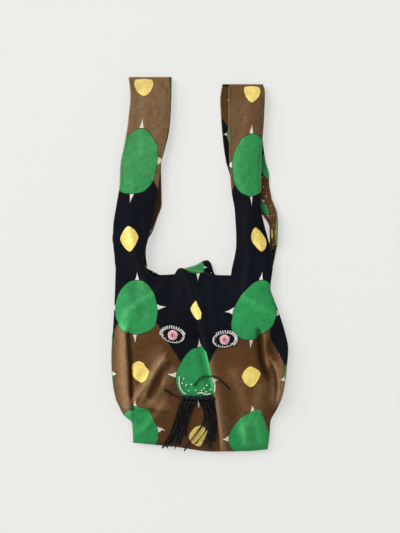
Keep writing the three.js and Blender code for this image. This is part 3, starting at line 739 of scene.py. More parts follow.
# Rays look down at the cloth from this height in metres. A laid line has its steps between two places.
laying = {"probeHeight": 0.34, "steps": 6, "smoothings": 3}


def pieceName(node):
    words = node.split("_")
    return words[0] + "".join(word.title() for word in words[1:])


def clothAt(x, y):
    spot = bagOrigin + Vector((x, y, 0)) * mm
    hit = frontTree.ray_cast(Vector((spot.x, spot.y, laying["probeHeight"])), Vector((0, 0, -1)))[0]
    return None if hit is None else (hit.z - bagOrigin.z) / mm


def clothUnder(x, y, reach):
    places = [(0, 0), (reach, 0), (-reach, 0), (0, 2 * reach), (0, -2 * reach)]
    heights = [clothAt(x + dx, y + dy) for dx, dy in places]
    heights = [height for height in heights if height is not None]
    return max(heights) if heights else None


def smoothLine(places, steps):
    points = [Vector(place) for place in places]
    points = [2 * points[0] - points[1]] + points + [2 * points[-1] - points[-2]]
    line = []
    for i in range(1, len(points) - 2):
        before, here, there, after = points[i - 1:i + 3]
        for step in range(steps):
            t = step / steps
            line.append(0.5 * (
                2 * here + (there - before) * t
                + (2 * before - 5 * here + 4 * there - after) * t**2
                + (3 * here - before - 3 * there + after) * t**3
            ))
    line.append(points[-2])
    return line


def fromRoll(x, y, height):
    return bagOrigin + Vector((rollPlace[0] + x, rollPlace[1] + y, height)) * mm


# Lay a line of places, counted from the roll's middle, on the cloth. The line comes out in metres.
def layOnCloth(places, reach, rise, lift):
    line = smoothLine(places, laying["steps"])
    rest = bag["bodyHeight"]
    heights = []
    for place in line:
        under = clothUnder(rollPlace[0] + place.x, rollPlace[1] + place.y, reach)
        rest = rest if under is None else under
        heights.append(rest + rise + lift)
    for _ in range(laying["smoothings"]):
        middle = [(a + 2 * b + c) / 4 for a, b, c in zip(heights, heights[1:], heights[2:])]
        heights = [heights[0]] + [max(a, b) for a, b in zip(heights[1:-1], middle)] + [heights[-1]]
    return [fromRoll(place.x, place.y, height) for place, height in zip(line, heights)]


# A closed tube along a line, from a section of (across, up) points that is drawn in at both ends
def tubeAlong(name, line, section, turns, endShare):
    rings, faces = [], []
    count = len(section)
    last = len(line) - 1
    for i, point in enumerate(line):
        ahead = line[min(i + 1, last)] - line[max(i - 1, 0)]
        ahead.normalize()
        across = ahead.cross(Vector((0, 0, 1))).normalized()
        up = across.cross(ahead)
        turn = Matrix.Rotation(turns[i], 3, ahead)
        across, up = turn @ across, turn @ up
        size = endShare if i in (0, last) else 1
        rings.append([point + (across * a + up * b) * size for a, b in section])
    for i in range(last):
        for j in range(count):
            k = (j + 1) % count
            faces.append((i * count + j, i * count + k, (i + 1) * count + k, (i + 1) * count + j))
    faces.append(tuple(reversed(range(count))))
    faces.append(tuple(last * count + j for j in range(count)))
    return meshObject(name, [p for ring in rings for p in ring], faces)


# Goatee: flat leather laces that hang from a roll. The low ones lie on the cloth and the top ones on those.
# Here and below, sines of odd steps stand for chance.
lace = {
    "width": 3.4,
    "thickness": 1.6,
    "corners": 12,
    "squareness": 0.62,
    "endShare": 0.72,
    "gap": 0.3,
    "rise": 1.6,
    "layerRise": 2.7,
    "twist": 1.25,
    "twistStep": 2.4,
    "twistAlong": 6.5,
    "twistFrom": 0.25,
    "strayLean": 1.1,
    "straySway": 0.35,
    "strayAlong": 4,
}
lowRoot = -rollSize["width"] / 2 - bag["stitchGap"]
topRoot = lowRoot - 2 * lace["gap"]
lowLaces = [
    [(-27.9, lowRoot), (-32.4, -14), (-38.7, -36), (-45.9, -58), (-55.8, -78), (-63.9, -93)],
    [(-21.2, lowRoot), (-26, -15), (-32.4, -38), (-39.6, -61), (-49.5, -81), (-55.8, -93)],
    [(-14.8, lowRoot), (-19.8, -15), (-26.4, -38), (-32.8, -60), (-38.2, -78), (-40.5, -94)],
    [(-8.1, lowRoot), (-13.6, -15), (-20.3, -36), (-25.9, -57), (-30.2, -74), (-32.8, -88)],
    [(-1.4, lowRoot), (-7, -15), (-14.2, -32), (-19.2, -49), (-21, -61), (-21.6, -70)],
    [(5, lowRoot), (8.4, -14), (11.6, -28), (10.2, -44), (1, -60), (-11.5, -77), (-24.6, -98)],
    [(11.7, lowRoot), (15.4, -15), (19.4, -32), (20.4, -50), (16.4, -68), (8.5, -84)],
    [(18.4, lowRoot), (21.8, -15), (25.2, -33), (26, -53), (24.2, -76), (22.8, -97)],
    [(24.8, lowRoot), (28.4, -14), (31.4, -32), (32.4, -50), (31.5, -66), (29.7, -80)],
]
topLaces = [
    [(-24.7, topRoot), (-29.7, -14), (-35.5, -36), (-42.6, -58), (-52, -78), (-58.5, -90)],
    [(-18, topRoot), (-22.9, -14), (-29.2, -37), (-36, -60), (-43.4, -78), (-47.6, -90)],
    [(-11.3, topRoot), (-16.4, -14), (-23.2, -35), (-29, -55), (-33.4, -72), (-34.6, -88)],
    [(-4.9, topRoot), (-10, -14), (-17.2, -32), (-22.6, -48), (-25.4, -62), (-25.8, -75)],
    [(1.8, topRoot), (7.6, -15), (14.4, -31), (16.8, -47), (13, -61), (3, -75), (-5, -84)],
    [(8.5, topRoot), (13.8, -15), (19.8, -32), (21.6, -50), (18.8, -68), (12, -84)],
    [(14.9, topRoot), (19.6, -15), (24.8, -33), (26.2, -52), (23.6, -72), (18.8, -90)],
    [(21.6, topRoot), (25.4, -15), (29.6, -33), (31, -52), (29.2, -66), (26, -80)],
]
strayLaces = {
    "lace_stray_left": [(-32.4, 1.5), (-37, 2.4), (-42, 4.5), (-50, 9), (-60, 15.5)],
    "lace_stray_over": [
        (-6.5, 21), (-1, 30), (6, 36), (16, 39.5), (30, 39.5), (38, 34), (48, 25), (57, 15),
    ],
}
laces = [(f"lace_low_{i + 1}", places, 0) for i, places in enumerate(lowLaces)]
laces += [(f"lace_top_{i + 1}", places, lace["layerRise"]) for i, places in enumerate(topLaces)]
laces += [(node, places, 0) for node, places in strayLaces.items()]


def laceOutline():
    section = []
    for i in range(lace["corners"]):
        turn = 2 * math.pi * (i + 0.5) / lace["corners"]
        c, s = math.cos(turn), math.sin(turn)
        across = math.copysign(abs(c) ** lace["squareness"], c) * lace["width"] / 2
        up = math.copysign(abs(s) ** lace["squareness"], s) * lace["thickness"] / 2
        section.append((across * mm, up * mm))
    return section


def lineLength(line):
    return sum((b - a).length for a, b in zip(line, line[1:]))


# How far a lace is turned about its own line: they twist as they hang, and the stray ones lie on edge
def laceTurn(order, share, isStray):
    if isStray:
        return lace["strayLean"] + lace["straySway"] * math.sin(lace["strayAlong"] * share)
    wave = math.sin(lace["twistStep"] * order + lace["twistAlong"] * share)
    return lace["twist"] * wave * ease(share, 0, lace["twistFrom"])


laceSection = laceOutline()
lacePieces = []
for order, (node, places, lift) in enumerate(laces):
    line = layOnCloth(places, lace["width"] / 2, lace["rise"], lift)
    last = len(line) - 1
    turns = [laceTurn(order, i / last, node in strayLaces) for i in range(last + 1)]
    piece = tubeAlong(pieceName(node), line, laceSection, turns, lace["endShare"])
    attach(piece, "root")
    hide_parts(node)
    round(lineLength(line), 4)
    lacePieces.append(piece)
print("laces laid:", len(lacePieces))


# Finishes. A wire is one socket's value, and an expression on wires adds its Math nodes.

class Wire:
    def __init__(self, finish, socket):
        self.finish = finish
        self.socket = socket

    def maths(self, operation, *others):
        return self.finish.node("Math", {"operation": operation}, dict(enumerate([self, *others])))

    def __add__(self, other):
        return self.maths("ADD", other)

    __radd__ = __add__

    def __sub__(self, other):
        return self.maths("SUBTRACT", other)

    def __rsub__(self, other):
        return self.finish.node("Math", {"operation": "SUBTRACT"}, {0: other, 1: self})

    def __mul__(self, other):
        return self.maths("MULTIPLY", other)

    __rmul__ = __mul__

    def __truediv__(self, other):
        return self.maths("DIVIDE", other)

    def __pow__(self, other):
        return self.maths("POWER", other)

    def __lt__(self, other):
        return self.maths("LESS_THAN", other)

    def __gt__(self, other):
        return self.maths("GREATER_THAN", other)

    def __abs__(self):
        return self.maths("ABSOLUTE")

    def atMost(self, limit):
        return self.maths("MINIMUM", limit)

    def atLeast(self, limit):
        return self.maths("MAXIMUM", limit)


class Finish:
    def __init__(self, name, **constants):
        self.material = bpy.data.materials.new(name)
        self.material.use_nodes = True
        self.tree = self.material.node_tree
        self.shader = self.tree.nodes["Principled BSDF"]
        for word, value in constants.items():
            self.shader.inputs[word.replace("_", " ")].default_value = value

    def node(self, kind, settings=None, values=None, output=0):
        made = self.tree.nodes.new("ShaderNode" + kind)
        for word, value in (settings or {}).items():
            setattr(made, word, value)
        for word, value in (values or {}).items():
            self.join(value, made.inputs[word])
        return Wire(self, made.outputs[output])

    def join(self, value, socket):
        if isinstance(value, Wire):
            self.tree.links.new(value.socket, socket)
        else:
            socket.default_value = value

    def set(self, **values):
        for word, value in values.items():
            self.join(value, self.shader.inputs[word.replace("_", " ")])

    # In colour mode a Mix node has its share at input 0, its colours at 6 and 7 and its result at output 2
    def mix(self, under, over, share):
        return self.node("Mix", {"data_type": "RGBA"}, {0: share, 6: under, 7: over}, output=2)

    def shade(self, colour, amount):
        return self.node("VectorMath", {"operation": "SCALE"}, {0: colour, "Scale": amount})

    def flat(self, u, v, w=0.0):
        return self.node("CombineXYZ", {}, {0: u, 1: v, 2: w})

    def attribute(self, name):
        return self.node("Attribute", {"attribute_name": name}, output="Fac")

    def noise(self, vector, scale, detail=2.0, roughness=0.5):
        values = {"Vector": vector, "Scale": scale, "Detail": detail, "Roughness": roughness}
        return self.node("TexNoise", {}, values)

    def grain(self, scale, detail, roughness):
        return self.noise(self.node("TexCoord", output="Object"), scale, detail, roughness)

    def bump(self, height, distance, strength):
        return self.node("Bump", {}, {"Height": height, "Distance": distance, "Strength": strength})


def dye(red, green, blue):
    parts = [value / 255 for value in (red, green, blue)]
    return (*[part / 12.92 if part <= 0.04045 else ((part + 0.055) / 1.055) ** 2.4 for part in parts], 1)


# A finish of two tones mixed by a grain of (scale, detail, roughness). The grain may also set the finish's
# roughness, as (least, share), and a bump, as (distance, strength).
def grainedFinish(name, dark, light, grain, roughness=None, bump=None, **constants):
    finish = Finish(name, **constants)
    tone = finish.grain(*grain)
    finish.set(Base_Color=finish.mix(dye(*dark), dye(*light), tone))
    if roughness:
        finish.set(Roughness=roughness[0] + tone * roughness[1])
    if bump:
        finish.set(Normal=finish.bump(tone, *bump))
    return finish.material


# Printed cotton: wavy bands of navy and brown, with green leaf eggs on white stars where the waves turn,
# and small yellow lozenges midway between those. All in millimetres of flat cloth.
cottonPrint = {
    "navy": dye(7, 11, 19),
    "brown": dye(86, 56, 27),
    "green": dye(38, 142, 76),
    "yellow": dye(238, 211, 112),
    "white": dye(226, 220, 208),
    "line": dye(34, 26, 24),
    "repeatAcross": 230,
    "bandHeight": 230,
    "bandStart": -130,
    "waveHeight": 60,
    "eggWidth": 80,
    "eggLength": 96,
    "starWidth": 112,
    "starLength": 128,
    "lozengeWidth": 34,
    "lozengeLength": 38,
    "lineWidth": 0.8,
    "wander": 5,
    "wanderLength": 55,
    "eggTaper": 0.0035,
    "eggLine": 4.4,
    "starPinch": 0.66,
    "lozengePinch": 1.5,
    "lozengeLine": 3.2,
}


# Below 1 inside a shape. Power 2 makes it round, and lower powers draw it in to its four points.
def insideShape(across, along, width, length, power):
    return (across * (2 / width)) ** power + (abs(along) * (2 / length)) ** power


def printOn(finish, u, v, plan):
    spot = finish.flat(u, v)
    wander = plan["wander"] * 2
    fineness = 1 / plan["wanderLength"]
    u = u + (finish.noise(spot, fineness) - 0.5) * wander
    v = v + (finish.noise(finish.flat(v, u, 7.0), fineness) - 0.5) * wander
    across = plan["repeatAcross"]
    band = plan["bandHeight"]
    wave = (u * (2 * math.pi / across)).maths("COSINE") * plan["waveHeight"]
    bandPlace = (v - plan["bandStart"] + wave) / band
    isBrown = (bandPlace * 0.5).maths("FRACT") > 0.5
    fromEdge = (0.5 - abs(bandPlace.maths("FRACT") - 0.5)) * band
    column = (u * (2 / across) + 0.5).maths("FLOOR")
    fromColumn = u - column * (across / 2)
    turn = (column * math.pi).maths("COSINE") * plan["waveHeight"]
    along = v - plan["bandStart"] + turn
    fromEgg = along - (along / band + 0.5).maths("FLOOR") * band
    fromLozenge = along - ((along / band).maths("FLOOR") + 0.5) * band
    away = abs(fromColumn)
    tapered = away * (fromEgg * plan["eggTaper"] + 1)
    egg = insideShape(tapered, fromEgg, plan["eggWidth"], plan["eggLength"], 2)
    star = insideShape(away, fromEgg, plan["starWidth"], plan["starLength"], plan["starPinch"])
    lozenge = insideShape(
        away, fromLozenge, plan["lozengeWidth"], plan["lozengeLength"], plan["lozengePinch"],
    )
    eggEdge = 1 + plan["eggLine"] * plan["lineWidth"] / plan["eggWidth"]
    lozengeEdge = 1 + plan["lozengeLine"] * plan["lineWidth"] / plan["lozengeWidth"]
    colour = finish.mix(plan["navy"], plan["brown"], isBrown)
    colour = finish.mix(colour, plan["line"], fromEdge < plan["lineWidth"])
    colour = finish.mix(colour, plan["white"], star < 1)
    colour = finish.mix(colour, plan["line"], egg < eggEdge)
    colour = finish.mix(colour, plan["green"], egg < 1)
    colour = finish.mix(colour, plan["line"], lozenge < lozengeEdge)
    return finish.mix(colour, plan["yellow"], lozenge < 1)


stitching = {
    "inset": 5,
    "width": 0.9,
    "pitch": 3.2,
    "dashShare": 0.72,
    "shade": 0.35,
    "rise": 0.7,
    "grooveWidth": 1.8,
    "grooveShade": 0.16,
    "grooveDepth": 1.1,
}
weave = {
    "threadLength": 16,
    "threadWidth": 1.5,
    "threadTone": 0.75,
    "mottleSize": 11,
    "mottleTone": 0.9,
    "mottleRise": 0.6,
    "cloudSize": 70,
    "cloudTone": 0.6,
    "leastRoughness": 0.8,
    "mottleRoughness": 0.12,
    "bumpDistance": 0.0007,
    "bumpStrength": 0.5,
}

# Pale dyes have a little gloss. The cloth is painted lighter on its ridges as painted highlight, and darker
# in its folds as painted shade. Red dyes get a warm pale bloom that is painted sheen on the ridges and wear
# where hands hold the straps. All dyes are painted paler at the hems: a painted highlight on the rolled edge,
# and wear as well.
wearAndPaintedLight = {
    "satinGain": 2.5,
    "satinMost": 0.3,
    "warmthGain": 3,
    "warmthMost": 0.3,
    "fullRelief": 9,
    "ridge": 0.8,
    "valley": 0.45,
    "bloom": dye(212, 180, 138),
    "ridgeSheenShare": 0.95,
    "handledShare": 0.62,
    "mottleShare": 1.7,
    "evenShare": 0.15,
    "hemWidth": 1.8,
    "hemShare": 0.9,
    "hemLeast": 0.08,
    "hemRoll": 2.5,
}


def clothFinish(name, scale, shift, plan, dots):
    finish = Finish(name, Specular_IOR_Level=0.1, Coat_Roughness=0.42)
    flatCloth = finish.node("UVMap", {"uv_map": "flatCloth"})
    parts = finish.node("SeparateXYZ", {}, {0: flatCloth})
    u = parts * (1 / mm)
    v = Wire(finish, parts.socket.node.outputs[1]) * (1 / mm)
    colour = printOn(finish, u / scale + shift[0], v / scale + shift[1], plan)
    if dots:
        acrossDots = abs((u / dots["spacing"]).maths("FRACT") - 0.5)
        alongDots = abs((v / dots["spacing"]).maths("FRACT") - 0.5)
        isDot = acrossDots**2 + alongDots**2 < (dots["size"] / dots["spacing"] / 2) ** 2
        colour = finish.mix(colour, plan["white"], isDot)
    satin = (finish.node("RGBToBW", {}, {0: colour}) * wearAndPaintedLight["satinGain"]).atMost(wearAndPaintedLight["satinMost"])
    warmth = (finish.node("SeparateColor", {}, {0: colour}) * wearAndPaintedLight["warmthGain"]).atMost(wearAndPaintedLight["warmthMost"])

    long, short = weave["threadLength"], weave["threadWidth"]
    weft = finish.noise(finish.flat(u / long, v / short), 1.0, 3.0, 0.6)
    warp = finish.noise(finish.flat(u / short, v / long, 4.0), 1.0, 3.0, 0.6)
    mottle = finish.noise(finish.flat(u, v), 1 / weave["mottleSize"], 5.0, 0.7)
    cloud = finish.noise(finish.flat(u, v, 9.0), 1 / weave["cloudSize"], 3.0, 0.5)
    thread = weft + warp - 1
    tone = 1 + thread * weave["threadTone"]
    tone = tone + (mottle - 0.5) * weave["mottleTone"] + (cloud - 0.5) * weave["cloudTone"]

    fromEdge = finish.attribute("fromEdge")
    fromStitch = abs(fromEdge - stitching["inset"])
    isDash = ((u + v) / stitching["pitch"]).maths("FRACT") < stitching["dashShare"]
    stitch = (fromStitch < stitching["width"] / 2) * isDash
    groove = 1 - (fromStitch / stitching["grooveWidth"]).atMost(1)
    hemRoll = (fromEdge / wearAndPaintedLight["hemRoll"]).atMost(1)
    # A pale line at the hems: painted highlight on the rolled edge, and wear as well
    hemWearAndHighlight = (1 - (fromEdge / wearAndPaintedLight["hemWidth"]).atMost(1)) * (satin + wearAndPaintedLight["hemLeast"])

    # Painted highlight on the ridges and painted shade in the folds, from how far each fold rises
    relief = finish.attribute("relief") / wearAndPaintedLight["fullRelief"]
    ridge = relief.atMost(1).atLeast(0)
    valley = (relief * -1).atMost(1).atLeast(0)
    tone = tone * (1 + ridge * wearAndPaintedLight["ridge"]) * (1 - valley * wearAndPaintedLight["valley"])
    tone = tone * (1 - stitch * stitching["shade"]) * (1 - groove * stitching["grooveShade"])
    # Painted sheen on the ridges, wear where hands hold the straps, and the hems' painted highlight and wear
    wornAndSheen = ridge * wearAndPaintedLight["ridgeSheenShare"] + finish.attribute("handled") * wearAndPaintedLight["handledShare"]
    brokenUp = mottle * wearAndPaintedLight["mottleShare"] + thread + wearAndPaintedLight["evenShare"]
    wearAndHighlight = (wornAndSheen * warmth * brokenUp + hemWearAndHighlight * wearAndPaintedLight["hemShare"]).atLeast(0)
    sewn = stitch * stitching["rise"] - groove * stitching["grooveDepth"]
    finish.set(
        Base_Color=finish.mix(finish.shade(colour, tone), wearAndPaintedLight["bloom"], wearAndHighlight),
        Roughness=weave["leastRoughness"] + mottle * weave["mottleRoughness"],
        Coat_Weight=satin,
        Normal=finish.bump(
            thread + mottle * weave["mottleRise"] + sewn + hemRoll,
            weave["bumpDistance"], weave["bumpStrength"],
        ),
    )
    return finish.material


def dress(thing, material):
    thing.data.materials.clear()
    thing.data.materials.append(material)


dress(outerFront, clothFinish("printedCotton", 1, (0, 0), cottonPrint, None))
dress(outerBack, clothFinish("printedCottonBack", 1, (58, 96), cottonPrint, None))
liningCotton = clothFinish("liningCotton", 0.45, (20, 35), cottonPrint, {"spacing": 15, "size": 1.7})
dress(liningFront, liningCotton)
dress(liningBack, liningCotton)

blackLeather = grainedFinish(
    "blackLeather", (3, 4, 6), (12, 13, 19), (900.0, 4.0, 0.6), roughness=(0.12, 0.2), bump=(0.0002, 0.6),
    Specular_IOR_Level=0.2, Specular_Tint=(0.8, 0.86, 1, 1),
)
for piece in lacePieces:
    dress(piece, blackLeather)

# The camera sees part of the floor at an even level of its own, so that the bag's shadow stays light
paper = {"base": dye(235, 235, 232), "seen": dye(238, 238, 235), "evenShare": 0.6}
paperFinish = Finish("paperFloor", Roughness=0.9)
paperFinish.set(Base_Color=paper["base"])
evenPaper = paperFinish.node("Emission", {}, {"Color": paper["seen"]})
isCameraRay = paperFinish.node("LightPath", output="Is Camera Ray")
isGlossyRay = paperFinish.node("LightPath", output="Is Glossy Ray")
seenShare = (isCameraRay + isGlossyRay) * paper["evenShare"]
paperShader = Wire(paperFinish, paperFinish.shader.outputs[0])
paperMix = paperFinish.node("MixShader", {}, {0: seenShare, 1: paperShader, 2: evenPaper})
paperFinish.join(paperMix, paperFinish.tree.nodes["Material Output"].inputs["Surface"])
print("finishes made")


# Small pieces of the face, each modelled once at its own size and then placed as copies

beadShape = {"sides": 12, "sectionSides": 8, "stretch": 1.35}
bugleShape = {"sides": 10, "bevelShare": 0.18, "bevelSteps": 2}


def finishModifiers(thing):
    bpy.context.view_layer.objects.active = thing
    for modifier in list(thing.modifiers):
        bpy.ops.object.modifier_apply(modifier=modifier.name)


def modelBead(name, size, hole):
    bpy.ops.mesh.primitive_torus_add(
        major_segments=beadShape["sides"], minor_segments=beadShape["sectionSides"],
        major_radius=(size + hole) / 4 * mm, minor_radius=(size - hole) / 4 * mm,
    )
    bead = bpy.context.object
    bead.name = name
    bpy.ops.object.mode_set(mode="EDIT")
    bpy.ops.transform.resize(value=(1, 1, beadShape["stretch"]))
    bpy.ops.object.mode_set(mode="OBJECT")
    bpy.ops.object.shade_smooth()
    bpy.ops.object.select_all(action="DESELECT")
    return bead


def modelBugle(name, width, length):
    bpy.ops.mesh.primitive_cylinder_add(
        vertices=bugleShape["sides"], radius=width / 2 * mm, depth=length * mm, rotation=(0, math.pi / 2, 0),
    )
    bugle = bpy.context.object
    bugle.name = name
    bpy.ops.object.transform_apply(rotation=True)
    bevel = bugle.modifiers.new("roundEnds", "BEVEL")
    bevel.width = bugleShape["bevelShare"] * width * mm
    bevel.segments = bugleShape["bevelSteps"]
    finishModifiers(bugle)
    bpy.ops.object.shade_smooth()
    bpy.ops.object.select_all(action="DESELECT")
    return bugle


def gather(name, parts):
    points, faces = [], []
    for mesh, place in parts:
        first = len(points)
        points += [place @ vertex.co for vertex in mesh.vertices]
        faces += [tuple(first + i for i in polygon.vertices) for polygon in mesh.polygons]
    return meshObject(name, points, faces)


def discard(*things):
    for thing in things:
        bpy.data.objects.remove(thing)


# Eyes: a felt leaf, bugle and round beads sewn round it, and a folded resin rose. The bugles are its lashes,
# and each eye has them between two turns, counted in half circles.
eye = {
    "ringLength": 41,
    "ringWidth": 26,
    "beads": 31,
    "sway": 0.34,
    "beadSize": 3.4,
    "beadHole": 0.9,
    "beadLean": 1.2,
    "beadRise": 0.5,
    "innerInset": 0.72,
    "innerSize": 0.62,
    "bugleWidth": 2.15,
    "bugleLength": 6.2,
    "bugleLean": -0.22,
    "bugleSway": 0.1,
    "bugleOut": 0.6,
    "bugleRise": 0.75,
    "patchThickness": 1.0,
    "feltUneven": 0.12,
    "feltFineness": 0.9,
    "roseSize": 18,
    "pearlSize": 1.9,
    "pearlRise": 0.45,
    "pearlSpots": ((-7.5, 5.4), (-2.6, 9.2), (3.2, 8.9), (8.6, 4.4)),
    "pearlSquash": 0.82,
    "leftLashes": (0.12, 1.16),
    "rightLashes": (1.72, 2.72),
}


def hasLash(turn, lashes):
    first, last = lashes
    return (turn / math.pi - first) % 2 < last - first


# The eye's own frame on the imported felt: along it, across it and up out of the cloth
def eyePlace(node):
    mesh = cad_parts[node].data
    up = Vector((0, 0, 0))
    for polygon in mesh.polygons:
        if polygon.normal.z > 0.7:
            up += polygon.normal * polygon.area
    up.normalize()
    leftTip = min((vertex.co for vertex in mesh.vertices), key=lambda spot: spot.x)
    rightTip = max((vertex.co for vertex in mesh.vertices), key=lambda spot: spot.x)
    low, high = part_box(node)
    along = rightTip - leftTip
    along = (along - up * along.dot(up)).normalized()
    across = up.cross(along)
    turn = Matrix((along, across, up)).transposed().to_4x4()
    middle = (low + high) / 2 - up * eye["patchThickness"] / 2 * mm
    return Matrix.Translation(middle) @ turn


def leafPatch(name, place):
    length = eye["ringLength"] - eye["beadSize"]
    width = eye["ringWidth"] - eye["beadSize"]
    bpy.ops.mesh.primitive_circle_add(vertices=64, radius=1, fill_type="TRIFAN")
    patch = bpy.context.object
    patch.name = name
    for vertex in patch.data.vertices:
        x, y = vertex.co.x, vertex.co.y
        reach = math.hypot(x, y)
        if reach > 0:
            x, y = x / reach, y / reach
        edge = math.copysign(1 - x * x, y) if reach > 0 else 0
        vertex.co = Vector((x * reach * length / 2, edge * width / 2 * reach, 0)) * mm
    bpy.ops.object.mode_set(mode="EDIT")
    bpy.ops.mesh.select_all(action="SELECT")
    bpy.ops.mesh.subdivide(number_cuts=5)
    bpy.ops.object.mode_set(mode="OBJECT")
    for vertex in patch.data.vertices:
        spot = vertex.co / mm
        vertex.co.z += eye["feltUneven"] * noise.noise(spot * eye["feltFineness"]) * mm
    wall = patch.modifiers.new("felt", "SOLIDIFY")
    wall.thickness = eye["patchThickness"] * mm
    wall.offset = 1
    finishModifiers(patch)
    patch.data.transform(place)
    bpy.ops.object.shade_smooth()
    bpy.ops.object.select_all(action="DESELECT")
    return patch


def eyeBeads(name, place, lashes):
    bead = modelBead("oneBead", eye["beadSize"], eye["beadHole"])
    bugle = modelBugle("oneBugle", eye["bugleWidth"], eye["bugleLength"])
    parts = []
    for i in range(eye["beads"]):
        turn = 2 * math.pi * i / eye["beads"]
        c, s = math.cos(turn), math.sin(turn)
        spot = Vector((eye["ringLength"] / 2 * c, eye["ringWidth"] / 2 * s, 0))
        outward = Vector((c / eye["ringLength"], s / eye["ringWidth"], 0)).normalized()
        heading = math.atan2(outward.y, outward.x) + eye["sway"] * math.sin(7.3 * i)
        facing = Matrix.Rotation(heading, 4, "Z")
        if hasLash(turn, lashes):
            lean = facing @ Matrix.Rotation(eye["bugleLean"] + eye["bugleSway"] * math.sin(3.1 * i), 4, "Y")
            spot += outward * eye["bugleOut"] + Vector((0, 0, eye["bugleWidth"] * eye["bugleRise"]))
            parts.append((bugle.data, place @ Matrix.Translation(spot * mm) @ lean))
            continue
        lean = facing @ Matrix.Rotation(eye["beadLean"], 4, "Y")
        spot += Vector((0, 0, eye["beadSize"] * eye["beadRise"]))
        parts.append((bead.data, place @ Matrix.Translation(spot * mm) @ lean))
        if i % 2 == 0:
            inner = Matrix.Translation((spot - outward * eye["beadSize"] * eye["innerInset"]) * mm)
            parts.append((bead.data, place @ inner @ lean @ Matrix.Scale(eye["innerSize"], 4)))
    pearl = eye["pearlSize"] / eye["beadSize"]
    for dx, dy in eye["pearlSpots"]:
        rise = eye["patchThickness"] + eye["pearlSize"] * eye["pearlRise"]
        spot = Vector((dx, dy * eye["pearlSquash"], rise))
        parts.append((bead.data, place @ Matrix.Translation(spot * mm) @ Matrix.Scale(pearl, 4)))
    ring = gather(name, parts)
    discard(bead, bugle)
    return ring


# A rose of curled petals in rings: (petals, root radius, rim radius, root height, rim height, half angle)
roseRings = (
    (5, 3.0, 8.8, 0.6, 2.7, 0.86),
    (5, 2.4, 6.8, 1.2, 4.1, 0.84),
    (4, 1.6, 4.9, 1.8, 5.1, 0.98),
    (3, 0.9, 3.1, 2.2, 5.8, 1.15),
    (2, 0.3, 1.4, 2.4, 5.9, 1.5),
)
petalShape = {
    "ringTurn": 0.6,
    "rimRound": 0.16,
    "flare": 0.8,
    "curl": 0.55,
    "cup": 0.62,
    "rootWidth": 0.55,
    "widening": 0.45,
    "wave": 0.18,
    "thickness": 0.55,
}


def rosePiece(name, place, start):
    petals = []
    for ring, (count, rootReach, rimReach, rootRise, rimRise, halfAngle) in enumerate(roseRings):
        for i in range(count):
            bpy.ops.mesh.primitive_grid_add(x_subdivisions=8, y_subdivisions=6, size=2)
            petal = bpy.context.object
            middle = start + 2 * math.pi * i / count + petalShape["ringTurn"] * ring
            for vertex in petal.data.vertices:
                s, t = vertex.co.x, (vertex.co.y + 1) / 2
                rim = t * (1 - petalShape["rimRound"] * s * s)
                reach = between(rootReach, rimReach, rim ** petalShape["flare"]) + petalShape["curl"] * s
                rise = between(rootRise, rimRise, math.sin(rim * math.pi * petalShape["cup"]))
                angle = middle + s * halfAngle * (petalShape["rootWidth"] + petalShape["widening"] * t)
                wave = petalShape["wave"] * math.sin(5 * s + i) * t
                vertex.co = Vector((reach * math.cos(angle), reach * math.sin(angle), rise + wave)) * mm
            wall = petal.modifiers.new("petal", "SOLIDIFY")
            wall.thickness = petalShape["thickness"] * mm
            wall.offset = 0
            smooth = petal.modifiers.new("smooth", "SUBSURF")
            smooth.levels = smooth.render_levels = 1
            finishModifiers(petal)
            petals.append(petal)
            bpy.ops.object.select_all(action="DESELECT")
    lift = Matrix.Translation(Vector((0, 0, eye["patchThickness"] + bag["stitchGap"])) * mm)
    parts = [(petal.data, place @ lift) for petal in petals]
    rose = gather(name, parts)
    reaches = [(lift.inverted() @ place.inverted() @ vertex.co) / mm for vertex in rose.data.vertices]
    setPointValues(rose, "tint", [math.hypot(spot.x, spot.y) / (eye["roseSize"] / 2) for spot in reaches])
    discard(*petals)
    return rose


blackFelt = grainedFinish(
    "blackFelt", (4, 4, 6), (19, 19, 22), (1600.0, 5.0, 0.7), bump=(0.0003, 0.7),
    Roughness=0.97, Specular_IOR_Level=0.2, Sheen_Weight=0.08,
)
silverBeads = grainedFinish(
    "silverBeads", (206, 202, 200), (252, 250, 247), (420.0, 1.0, 0.4), roughness=(0.14, 0.2),
    Metallic=0.08, IOR=1.55, Coat_Weight=0.6, Coat_Roughness=0.08,
)
whiteBeads = grainedFinish(
    "whiteBeads", (236, 226, 208), (252, 250, 244), (300.0, 1.0, 0.4), roughness=(0.22, 0.15),
    IOR=1.5, Coat_Weight=0.5, Coat_Roughness=0.1,
)
whiteCord = grainedFinish(
    "whiteCord", (214, 206, 186), (246, 242, 230), (700.0, 3.0, 0.5), bump=(0.0002, 0.6),
    Roughness=0.75, Sheen_Weight=0.2,
)
pinkResin = Finish("pinkResin", IOR=1.5, Coat_Weight=0.35, Coat_Roughness=0.2)
petalNoise = pinkResin.grain(500.0, 3.0, 0.5)
petalShare = pinkResin.attribute("tint") * 1.15 + petalNoise * 0.3
pinkResin.set(
    Base_Color=pinkResin.mix(dye(196, 84, 108), dye(247, 200, 207), petalShare),
    Roughness=0.32 + petalNoise * 0.15,
)

for side, roseTurn in (("left", 0.2), ("right", 0.9)):
    place = eyePlace(f"eye_patch_{side}")
    lashes = eye[f"{side}Lashes"]
    word = side.title()
    for thing, node, slot, material in (
        (leafPatch(f"eyePatch{word}", place), "eye_patch_", "black_felt", blackFelt),
        (eyeBeads(f"eyeBeads{word}", place, lashes), "eye_bead_ring_", "silver_beads", silverBeads),
        (rosePiece(f"eyeRose{word}", place, roseTurn), "eye_rose_", "pink_resin", pinkResin.material),
    ):
        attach(thing, "root")
        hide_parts(node + side)
        dress(thing, material)
print("eyes sewn on")

